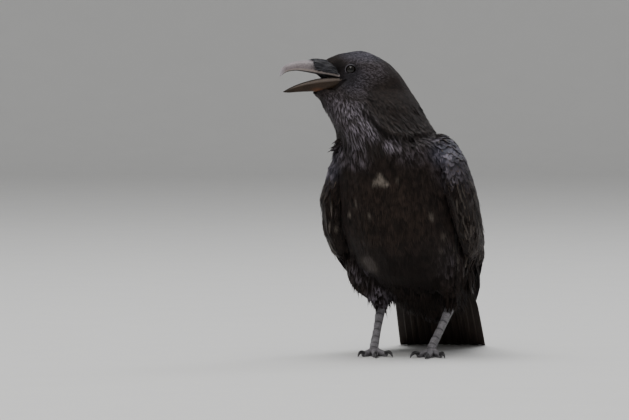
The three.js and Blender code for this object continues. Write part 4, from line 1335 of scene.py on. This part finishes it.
# ---------------------------------------- bill
UPPER_BILL = [  # stations: along, up, half width, half height
    (-18, -8.2, 18.6, 3.0), (-31, -3.9, 14.2, 10.6), (-44, -1.6, 10.0, 12.8), (-58, 0.6, 7.8, 10.4),
    (-70, 1.5, 6.0, 8.2), (-80, -0.8, 4.0, 5.6), (-86.5, -6.0, 1.5, 2.2)]
LOWER_BILL = [
    (-17, -9.8, 18.8, 4.0), (-27, -10.0, 17.2, 9.8), (-40, -11.0, 12.6, 12.2), (-54, -13.4, 8.2, 9.8),
    (-68, -17.2, 5.4, 6.6), (-83, -23.2, 2.0, 1.8)]
MOUTH = [  # along, top, bottom, half width
    (-15, -7.4, -11.0, 14.0), (-26, -4.4, -11.2, 12.6), (-35, -2.2, -11.4, 10.4), (-40, -1.4, -9.0, 8.8),
    (-46, -0.8, -4.4, 7.6), (-54, 0.2, -1.8, 6.6), (-64, 1.0, -0.4, 5.0)]


def bill_half(name, stations, down, rows, material, lining, node):
    """Half of the bill, domed on its back and hollowed between sharp edges on its biting side."""
    around = 40
    t = (1 - np.cos(np.pi * np.linspace(0, 1, rows))) / 2
    values = spline(np.array(stations, float), t)
    ahead = unit(np.gradient(np.stack([np.zeros(rows), values[:, 0], values[:, 1]], 1), axis=0))
    side = np.tile([1.0, 0, 0], (rows, 1))
    up = unit(np.cross(side, ahead)) * (-1 if down else 1)
    if up[0, 2] * (-1 if down else 1) < 0:
        up = -up
    start, end = 0.03, 0.10
    full = np.sqrt(1 - (1 - np.minimum(1, t / start)) ** 2)
    full = full * np.sqrt(1 - (1 - np.minimum(1, (1 - t) / end)) ** 2)
    angle = 2 * np.pi * np.arange(around) / around
    rise = np.sin(angle)
    cosine = np.cos(angle)
    hollow = np.minimum(0.10 + 0.10 * cosine**2 - 0.30 * cosine**6, 0.2) - 0.12
    ring_y = np.where(rise > -1e-9, np.abs(rise) ** 0.85, hollow)
    across = np.sign(cosine) * np.abs(cosine) ** (0.62 if down else 1.0)
    section = np.stack([across[None, :] * (values[:, 2] * full)[:, None],
                        ring_y[None, :] * (values[:, 3] * full)[:, None]], -1)
    centre = np.stack([np.zeros(rows), values[:, 0], values[:, 1]], 1)
    points = ring_loft(centre, side, up, section).reshape(-1, 3)
    faces = capped(rows, around)
    height = np.broadcast_to(np.clip(ring_y, -1, 1)[None, :], (rows, around))
    edge = np.exp(-(height / 0.22) ** 2)
    tone = np.stack([edge, np.broadcast_to(t[:, None], edge.shape), height * 0.5 + 0.5,
                     np.ones_like(edge)], -1)
    inside = np.zeros(len(faces[0]), int)
    column = np.arange(len(faces[0])) % around
    inside[(column > around // 2 + 1) & (column < around - 2)] = 1
    which = np.concatenate([inside, np.zeros(len(faces[1]), int)])
    piece = mesh_piece(name, place(points, head=True), faces, [material, lining], marks={"horn": tone},
                       which=which)
    if np.linalg.det(np.stack([side[0], up[0], ahead[0]])) > 0:
        piece.data.flip_normals()
    return settle_piece(piece, "bill_horn", node)


def horn_finish(name, ground, dark_to, tip, stain=0.0, rim=0.80, ridge=0.0, shine=0.4, lip_shade=0.0):
    """Horn in fine streaks, darkened by painted shade where the bristles or the chin cover it, paler along
    the edges, with a painted highlight along its top and a dark painted line of shade under its edge where
    asked.
    """
    head = bpy.context.scene.raven_head
    n = Nodes(name)
    edge, along, height, _ = n.marks("horn")
    streaks = n.add("ShaderNodeMapping")
    n.put(streaks, "Vector", n.add("ShaderNodeTexCoord").outputs["Object"])
    streaks.inputs["Rotation"].default_value = (0, 0, -HEAD_TURN)
    streaks.inputs["Scale"].default_value = (1.0, 0.16, 1.0)
    grain = n.noise(700.0, 4.0, 0.6, streaks.outputs[0])
    blotch = n.noise(120.0, 3.0)
    colour = n.mix(n.ramp(blotch, 0.35, 0.7, 0.0, 0.8), ground, tuple(c * 0.6 for c in ground))
    # painted shade: darker towards the root, under the bristles or the chin feathers
    colour = n.mix(n.ramp(along, dark_to - 0.18, dark_to, 1.0, 0.0), colour, (0.012, 0.010, 0.011))
    rust = n.math("MULTIPLY", n.ramp(along, 0.38, 0.50), n.ramp(along, 0.52, 0.66, 1.0, 0.0))
    rust = n.math("MULTIPLY", rust, n.ramp(height, 0.72, 0.95, 0.0, stain))
    colour = n.mix(rust, colour, (0.16, 0.055, 0.022))
    # painted highlight: lighter along the top of the bill where ridge is set
    colour = n.mix(n.ramp(height, 0.82, 1.0, 0.0, ridge), colour, (0.34, 0.31, 0.33))
    colour = n.mix(n.ramp(edge, 0.45, 0.95, 0.0, rim), colour, tuple(head.horn_edge))
    # the tip's colour; on the upper bill it is pale, a painted highlight
    colour = n.mix(n.ramp(along, 0.80, 1.0, 0.0, 0.8), colour, tip)
    colour = n.mix(n.ramp(grain, 0.35, 0.75, 0.0, 0.45), colour, tuple(c * 1.9 for c in ground))
    # painted shade: a dark line just under the upper bill's edge, for the shaded mouth beneath it
    colour = n.mix(n.ramp(height, 0.42, 0.485, lip_shade, 0.0), colour, (0.012, 0.010, 0.010))
    n.bump(grain, 0.3, 0.0003)
    return n.finish(colour, n.ramp(grain, 0.2, 0.8, 0.34, 0.50), Specular_IOR_Level=shine)


def mouth_filling(material):
    """The dark roof and corner of the open mouth, between the two halves of the bill: a near-black filling
    that stands for the shade inside the mouth.
    """
    rows, around = 22, 24
    along, top, low, wide = spline(np.array(MOUTH, float), np.linspace(0, 1, rows)).T
    angle = 2 * np.pi * np.arange(around) / around
    ends = np.sin(np.pi * np.clip(np.linspace(0.06, 0.94, rows), 0, 1)) ** 0.35
    centre = np.stack([np.zeros(rows), along, (top + low) / 2], 1)
    section = np.stack([np.cos(angle)[None] * (wide * ends)[:, None],
                        np.sin(angle)[None] * ((top - low) / 2 * ends)[:, None]], -1)
    points = ring_loft(centre, np.tile([1.0, 0, 0], (rows, 1)), np.tile([0, 0, 1.0], (rows, 1)), section)
    points = place(points.reshape(-1, 3), head=True)
    settle_piece(mesh_piece("mouth_lining", points, capped(rows, around), [material]), "bill_horn")


def lining_finish():
    """The wet inside of the mouth, near black: painted shade."""
    n = Nodes("mouth_lining")
    wet = n.noise(300.0, 3.0)
    colour = n.mix(wet, (0.003, 0.0025, 0.003), (0.010, 0.007, 0.008))
    n.bump(wet, 0.3, 0.0004)
    return n.finish(colour, n.ramp(wet, 0.3, 0.7, 0.45, 0.65), Specular_IOR_Level=0.2)


class RAVEN_OT_bill(bpy.types.Operator):
    """Both halves of the open bill, with the dark lining of the mouth"""
    bl_idname = "raven.bill"
    bl_label = "Bill"

    def execute(self, context):
        head = context.scene.raven_head
        lining = lining_finish()
        # the upper bill's pale tip and lighter top are painted highlights, and its dark edge line is painted
        # shade
        upper = horn_finish("upper_horn", tuple(head.horn), 0.54, (0.50, 0.48, 0.52), ridge=0.35, lip_shade=0.9)
        lower = horn_finish("lower_horn", tuple(head.horn_low), 0.20, (0.016, 0.014, 0.011), stain=0.55,
                            rim=0.45, shine=0.15)
        bill_half("bill_upper", UPPER_BILL, False, 48, upper, lining, "upper_bill")
        bill_half("bill_lower", LOWER_BILL, True, 40, lower, lining, "lower_bill")
        mouth_filling(lining)
        return {"FINISHED"}


# ---------------------------------------- eyes
def seat_eye(points, hand, sign):
    """Turn points about an eye's own middle, facing straight out, to where the eye looks."""
    x, y, z = points.T
    c, s = math.cos(EYE_TURN), math.sin(EYE_TURN)
    points = np.stack([x * c + sign * (y * s + 0.3), y * c - sign * x * s, z], 1)
    return place(points + EYE_AT[hand] + np.array(EYE_SEAT), head=True)


class RAVEN_OT_eyes(bpy.types.Operator):
    """Eyeballs with their lids"""
    bl_idname = "raven.eyes"
    bl_label = "Eyes"

    def execute(self, context):
        head = context.scene.raven_head
        n = Nodes("eye_wet")
        ring, _, _, _ = n.marks("iris")
        fibres = n.noise(1500.0, 3.0)
        colour = n.mix(n.ramp(ring, 0.40, 0.46), (0.001, 0.001, 0.001),
                       n.mix(fibres, (0.004, 0.003, 0.0025), (0.012, 0.008, 0.006)))
        colour = n.mix(n.ramp(ring, 0.93, 1.0), colour, (0.004, 0.003, 0.003))
        wet = n.finish(colour, n.ramp(fibres, 0.0, 1.0, 0.05, 0.08), Specular_IOR_Level=0.35)
        n = Nodes("eye_lid")
        grain = n.noise(1600.0, 3.0)
        low, _, _, _ = n.marks("lid")
        colour = n.mix(low, (0.012, 0.011, 0.013), (0.170, 0.160, 0.175))
        n.bump(grain, 0.5, 0.0003)
        lid = n.finish(colour, n.ramp(grain, 0.2, 0.8, 0.55, 0.70), Specular_IOR_Level=0.2)
        for hand, sign in (("left", 1), ("right", -1)):
            self.eyeball(hand, sign, head.iris / MM, wet)
            self.lids(hand, sign, head.iris / MM, head.lid / MM, lid)
        return {"FINISHED"}

    @staticmethod
    def eyeball(hand, sign, iris, material):
        """The front of an eyeball, with a low bulge over the iris."""
        rows, around, radius = 18, 32, 6.3
        a = np.linspace(0.02, np.pi * 0.62, rows)
        b = 2 * np.pi * np.arange(around) / around
        bulge = 1 + 0.05 * np.exp(-(a / 0.55) ** 2)
        out = np.cos(a) * radius * bulge * 0.87
        wide = np.sin(a) * radius * bulge
        points = np.stack([np.broadcast_to(out[:, None] * sign, (rows, around)), wide[:, None] * np.cos(b),
                           wide[:, None] * np.sin(b)], -1)
        ring = np.where(a > 1.4, 1.0, np.clip(wide / iris, 0, 1))
        marks = np.ones((rows, around, 4))
        marks[..., :3] = ring[:, None, None]
        piece = mesh_piece(f"eye_{hand}", seat_eye(points.reshape(-1, 3), hand, sign), capped(rows, around),
                           [material], marks={"iris": marks.reshape(-1, 4)})
        if sign < 0:
            piece.data.flip_normals()
        settle_piece(piece, "eye", f"{hand}_eye")

    @staticmethod
    def lids(hand, sign, inner, outer, material, seat=6.95):
        """The beaded ring of the lids, round the eyeball of radius seat, grey along its crest and paler
        below, a painted highlight.
        """
        around, tube = 56, 10
        b = 2 * np.pi * np.arange(around) / around
        angle = 2 * np.pi * np.arange(tube) / tube
        middle_radius = (inner + outer) / 2 + 0.10 * np.cos(2 * b)
        half = (outer - inner) / 2 + 0.15
        beads = 1 + 0.10 * np.sin(b * 26)
        radial = middle_radius[:, None] + half * np.cos(angle)[None, :]
        rise = 0.75 * np.sin(angle)[None, :] * beads[:, None]
        sit = np.sqrt(np.maximum(seat**2 - radial**2, 0.2))
        out = sit * 0.86 + rise + 0.30
        points = np.stack([out * sign, radial * np.cos(b)[:, None], radial * np.sin(b)[:, None] * 0.97], -1)
        # the crest of the ring is its own pale grey, and paler still below as a painted highlight
        low = np.clip(0.55 - np.sin(b) * 0.35, 0.2, 1)[:, None] * np.clip(np.sin(angle), 0, 1)[None, :] ** 2
        faces = grid_faces(around, tube, True)
        close = np.arange(tube)
        seam = np.stack([close + (around - 1) * tube, close, (close + 1) % tube,
                         (close + 1) % tube + (around - 1) * tube], 1)
        marks = np.stack([low, low, low, np.ones_like(low)], -1)
        piece = mesh_piece(f"lids_{hand}", seat_eye(points.reshape(-1, 3), hand, sign),
                           [np.concatenate([faces, seam])], [material], marks={"lid": marks})
        if sign < 0:
            piece.data.flip_normals()
        settle_piece(piece, "head_plumage")


# ---------------------------------------- legs
FOOT_UP = 8.5  # how high over the floor the toes meet the leg
LEGS = {"left": {"ankle": (43, 30, 54), "foot": (31, -9, FOOT_UP), "turn": 6},
        "right": {"ankle": (-37, 30, 50), "foot": (-34.5, -9, FOOT_UP), "turn": 16}}
TARSUS = (4.2, 4.9)  # half its width and half its depth, and how much more they are from ankle to foot
TARSUS_ENDS = ((0.8, 1.1, 0, 0.5, 0.2), (0.6, 1.0, 0, -0.1, -0.6))
TOE_RADIUS = 3.7
# spread in degrees, length of the toe and of its claw, and joints
TOES = {"middle": (0, 39, 15, 3), "inner": (-27, 28, 14, 2), "outer": (27, 29, 13, 4),
        "hind": (180, 22, 18, 1)}


def scaled_tube(line, wide, deep, front, scales, rows, around=28, step=0.09, pads=0, floor=None):
    """A limb with overlapping plates down its front, and pads beneath if asked. Returns points and tones."""
    t = np.linspace(0, 1, rows)
    centre = spline(line, t)
    ahead = unit(np.gradient(centre, axis=0))
    front = np.asarray(front, float)
    up = unit(front - ahead * (front * ahead).sum(1, keepdims=True))
    side = np.cross(ahead, up)
    angle = 2 * np.pi * np.arange(around) / around
    plate = (t * scales) % 1.0
    rise = step * (1 - plate) ** 1.5
    groove = np.exp(-((plate - 0.02) / 0.10) ** 2) + np.exp(-((plate - 1.0) / 0.07) ** 2)
    facing = smoothstep(np.sin(angle), -0.05, 0.35)
    swell = 1 + rise[:, None] * facing[None, :] - 0.05 * (groove[:, None] * facing[None, :])
    if pads:
        beneath = smoothstep(-np.sin(angle), 0.2, 0.8)
        swell = swell + 0.10 * np.abs(np.sin(np.pi * t * pads))[:, None] * beneath[None, :]
    ends = np.sqrt(np.clip(1 - (1 - np.minimum(1, t / 0.05)) ** 2, 0.05, 1)) \
        * np.sqrt(np.clip(1 - (1 - np.minimum(1, (1 - t) / 0.06)) ** 2, 0.02, 1))
    a = spline(np.array(wide, float)[:, None], t) * ends[:, None]
    b = spline(np.array(deep, float)[:, None], t) * ends[:, None]
    section = np.stack([np.cos(angle)[None, :] * a * swell, np.sin(angle)[None, :] * b * swell], -1)
    points = ring_loft(centre, side, up, section)
    if floor is not None:
        low = points[..., 2]
        points[..., 2] = np.where(low < floor + 0.5, floor + 0.5 * np.exp((low - floor - 0.5) / 0.9), low)
    tone = np.stack([np.broadcast_to(groove[:, None] * facing[None, :], swell.shape),
                     np.broadcast_to(t[:, None], swell.shape), np.broadcast_to(facing[None, :], swell.shape),
                     np.ones_like(swell)], -1)
    return points.reshape(-1, 3), tone.reshape(-1, 4), capped(rows, around)


def scale_finish():
    """Grey plates with dark skin between them, and fine scales behind."""
    legs = bpy.context.scene.raven_legs
    n = Nodes("leg_scales")
    groove, _, facing, _ = n.marks("scale")
    cells = n.add("ShaderNodeTexVoronoi", feature="DISTANCE_TO_EDGE")
    n.put(cells, "Scale", 750.0)
    n.put(cells, "Vector", n.add("ShaderNodeTexCoord").outputs["Object"])
    web = n.ramp(cells.outputs["Distance"], 0.02, 0.16)
    web = n.math("MAXIMUM", web, n.math("MULTIPLY", facing, 0.7))
    blotch = n.noise(160.0, 3.0)
    colour = n.mix(n.ramp(blotch, 0.3, 0.7, 0.0, 0.8), tuple(legs.scute), (0.150, 0.142, 0.152))
    colour = n.mix(n.math("SUBTRACT", 1.0, web), colour, tuple(legs.joint))
    colour = n.mix(n.math("MULTIPLY", groove, 0.9, clamp=True), colour, tuple(legs.joint))
    n.bump(n.math("ADD", web, n.math("MULTIPLY", n.noise(1400.0, 2.0), 0.3)), 0.5, 0.0004)
    return n.finish(colour, n.ramp(blotch, 0.2, 0.8, 0.45, 0.68), Specular_IOR_Level=0.4)


def claw_finish():
    """Black horn of the claws."""
    n = Nodes("claw_horn")
    grain = n.noise(900.0, 3.0)
    colour = n.mix(grain, (0.008, 0.008, 0.009), (0.035, 0.032, 0.034))
    n.bump(grain, 0.25, 0.0002)
    return n.finish(colour, n.ramp(grain, 0.2, 0.8, 0.25, 0.42))


class RAVEN_OT_legs(bpy.types.Operator):
    """Scaled legs, toes and claws"""
    bl_idname = "raven.legs"
    bl_label = "Legs"

    def execute(self, context):
        scales, horn = scale_finish(), claw_finish()
        for hand, leg in LEGS.items():
            sign = 1 if hand == "left" else -1
            ankle, foot = np.array(leg["ankle"], float), np.array(leg["foot"], float)
            line = [ankle + (0, 1, 4), ankle + (0, 0.5, 0), ankle * 0.5 + foot * 0.5, foot + (0, 0.5, 2),
                    foot + (0, -1, -3)]
            wide, deep = (np.add(radius, more) for radius, more in zip(TARSUS, TARSUS_ENDS))
            points, tone, faces = scaled_tube(line, wide, deep, (0, -1, 0.4), 11, 130, step=0.16)
            piece = mesh_piece(f"leg_{hand}", place(points), faces, [scales], marks={"scale": tone})
            settle_piece(piece, "leg_skin", f"{hand}_tarsus")
            self.toes(hand, sign, leg, foot, scales)
            self.claws(hand, sign, leg, foot, horn)
        return {"FINISHED"}

    @staticmethod
    def turned(points, angle, foot):
        """Points of a toe that runs straight ahead, turned to its own direction and set at the foot."""
        c, s = math.cos(angle), math.sin(angle)
        x, y, z = points.T
        return np.stack([x * c - y * s + foot[0], x * s + y * c + foot[1], z], 1)

    def toes(self, hand, sign, leg, foot, material):
        """The four toes of one foot, joined."""
        points, tones, quads, tips, start = [], [], [], [], 0
        for spread, length, _, joints in TOES.values():
            low = TOE_RADIUS - 0.6
            line = [(0, 4, FOOT_UP - 1.0), (0, -0.12 * length, FOOT_UP - 3), (0, -0.38 * length, low + 0.9),
                    (0, -0.68 * length, low), (0, -length, low - 0.3)]
            wide = (4.4, 4.0, TOE_RADIUS - 0.1, TOE_RADIUS - 0.35, TOE_RADIUS - 0.9)
            p, tone, faces = scaled_tube(line, wide, wide, (0, 0, 1), max(4, round(length / 3.6)), 70, 22,
                                         0.15, joints + 1, floor=0.05)
            points.append(self.turned(p, math.radians(sign * spread + leg["turn"]), foot))
            tones.append(tone)
            quads.append(faces[0] + start)
            tips.append(faces[1] + start)
            start += len(p)
        piece = mesh_piece(f"toes_{hand}", place(np.concatenate(points)),
                           [np.concatenate(quads), np.concatenate(tips)], [material],
                           marks={"scale": np.concatenate(tones)})
        settle_piece(piece, "leg_skin", f"{hand}_foot")

    def claws(self, hand, sign, leg, foot, material):
        """A curved claw at the end of each toe."""
        for toe, (spread, length, claw, _) in TOES.items():
            rows, around = 22, 14
            line = [(0, 3 - length, 3.6), (0, -length - claw * 0.4, 5.0), (0, -length - claw * 0.8, 3.2),
                    (0, -length - claw, 0.4)]
            t = np.linspace(0, 1, rows)
            centre = spline(line, t)
            ahead = unit(np.gradient(centre, axis=0))
            side = np.tile([1.0, 0, 0], (rows, 1))
            up = np.cross(side, ahead)
            up = up * np.sign(up[:, 2:3] + 1e-9)
            size = spline([(2.3, 2.9), (2.1, 2.5), (1.3, 1.6), (0.25, 0.3)], t)
            angle = 2 * np.pi * np.arange(around) / around
            y = np.sin(angle)
            y = np.where(y < 0, y * 0.55, y)
            section = np.stack([np.cos(angle)[None, :] * size[:, :1], y[None, :] * size[:, 1:]], -1)
            points = ring_loft(centre, side, up, section).reshape(-1, 3)
            points[:, 2] = np.maximum(points[:, 2], 0.05)
            points = self.turned(points, math.radians(sign * spread + leg["turn"]), foot)
            piece = mesh_piece(f"claw_{hand}_{toe}", place(points), capped(rows, around), [material])
            settle_piece(piece, "claw_horn", f"{hand}_{toe}_claw")


# ---------------------------------------- stage
# place, power, width and tint
LAMPS = {"overhead": ((-0.6, -0.4, 5.0), 230, 4.5, (1.0, 1.0, 1.0)),
         "key": ((0.0, -2.9, 3.1), 36, 1.6, (1.0, 0.98, 0.96)),
         "rim": ((1.4, 2.6, 3.0), 30, 1.6, (0.95, 0.97, 1.0))}
LAMPS_AIM = (0, 0, 0.17)
CAMERA_AIM = (-0.10145, 0.1601)  # how far right of the bird's feet, and over them, the camera looks


class RAVEN_OT_stage(bpy.types.Operator):
    """Pale floor, soft lamps and the camera"""
    bl_idname = "raven.stage"
    bl_label = "Stage"

    def execute(self, context):
        stage = context.scene.raven_stage
        world = bpy.data.worlds.new("pale room")
        world.use_nodes = True
        light = world.node_tree.nodes["Background"].inputs
        light["Color"].default_value = (0.84, 0.84, 0.845, 1)
        light["Strength"].default_value = 0.45
        context.scene.world = world
        self.floor(tuple(stage.floor))
        for name, lamp in LAMPS.items():
            self.lamp(name, *lamp)
        self.camera(stage)
        return {"FINISHED"}

    @staticmethod
    def floor(base):
        """A round floor that bends up into a wall."""
        n = Nodes("floor_matt")
        speck = n.noise(12.0, 4.0)
        n.bump(n.noise(400.0, 2.0), 0.1, 0.0005)
        n.finish(n.mix(speck, base, tuple(c * 0.96 for c in base)), n.ramp(speck, 0.2, 0.8, 0.75, 0.9))
        flat, bend, wall, around = 7.0, 1.5, 3.5, 96
        arc = np.linspace(0, np.pi / 2, 12)
        reach = np.concatenate([[0.4, 2.0, 4.0], flat + bend * np.sin(arc), [flat + bend]])
        height = np.concatenate([[0, 0, 0], bend * (1 - np.cos(arc)), [wall]])
        angle = 2 * np.pi * np.arange(around) / around
        rings = np.stack([reach[:, None] * np.cos(angle), reach[:, None] * np.sin(angle),
                          np.broadcast_to(height[:, None], (len(reach), around))], -1).reshape(-1, 3)
        hub = np.array([(0, k, (k + 1) % around) for k in range(around)]) + [len(rings), 0, 0]
        quads = grid_faces(len(reach), around, True)
        floor = mesh_piece("floor", np.concatenate([rings, [(0, 0, 0)]]), [quads, hub], [n.material])

    @staticmethod
    def lamp(name, at, energy, width, tint):
        """A soft round lamp that shines on the bird."""
        lamp = bpy.data.lights.new(name, "AREA")
        lamp.shape, lamp.size, lamp.energy, lamp.color = "DISK", width, energy, tint
        held = bpy.data.objects.new(name, lamp)
        held.location = at
        held.rotation_euler = (Vector(LAMPS_AIM) - Vector(at)).to_track_quat("-Z", "Y").to_euler()
        bpy.context.scene.collection.objects.link(held)

    @staticmethod
    def camera(stage):
        """The camera, which looks past the bird's side so that it stands to the right in the picture."""
        a, e = stage.azimuth, stage.elevation
        right = Vector((math.cos(a), math.sin(a), 0))
        away = Vector((-math.sin(a), math.cos(a), 0))
        ahead = away * math.cos(e) - Vector((0, 0, math.sin(e)))
        up = right.cross(ahead)
        camera = bpy.data.objects.new("camera", bpy.data.cameras.new("camera"))
        camera.data.lens = stage.lens
        camera.data.sensor_width = 36.0
        camera.data.clip_end = 60.0
        aim = Vector(STANDS_AT) + right * CAMERA_AIM[0] + up * CAMERA_AIM[1]
        turn = Matrix((right, up, -ahead)).transposed().to_4x4()
        camera.matrix_world = Matrix.Translation(aim - ahead * stage.distance) @ turn
        bpy.context.scene.collection.objects.link(camera)
        bpy.context.scene.camera = camera


# ---------------------------------------- panel
PIECES = (RAVEN_OT_skin, RAVEN_OT_coat, RAVEN_OT_bristles, RAVEN_OT_wings, RAVEN_OT_tail, RAVEN_OT_bill,
          RAVEN_OT_eyes, RAVEN_OT_legs, RAVEN_OT_stage)
SETTINGS = {"raven_coat": RavenCoat, "raven_head": RavenHead, "raven_legs": RavenLegs,
            "raven_stage": RavenStage}


class RAVEN_PT_panel(bpy.types.Panel):
    """The raven's settings and the pieces in the order they are made"""
    bl_label = "Raven"
    bl_idname = "RAVEN_PT_panel"
    bl_space_type = "VIEW_3D"
    bl_region_type = "UI"
    bl_category = "Raven"

    def draw(self, context):
        for key, group in SETTINGS.items():
            box = self.layout.box()
            box.label(text=group.__doc__)
            for name in group.__annotations__:
                box.prop(getattr(context.scene, key), name)
        for piece in PIECES:
            self.layout.operator(piece.bl_idname)


def register():
    for group in (*SETTINGS.values(), *PIECES, RAVEN_PT_panel):
        bpy.utils.register_class(group)
    for key, group in SETTINGS.items():
        setattr(bpy.types.Scene, key, bpy.props.PointerProperty(type=group))


def unregister():
    for key in SETTINGS:
        delattr(bpy.types.Scene, key)
    for group in reversed((*SETTINGS.values(), *PIECES, RAVEN_PT_panel)):
        bpy.utils.unregister_class(group)


def main():
    register()
    for piece in PIECES:
        module, name = piece.bl_idname.split(".")
        getattr(getattr(bpy.ops, module), name)()


if __name__ == "__main__":
    main()
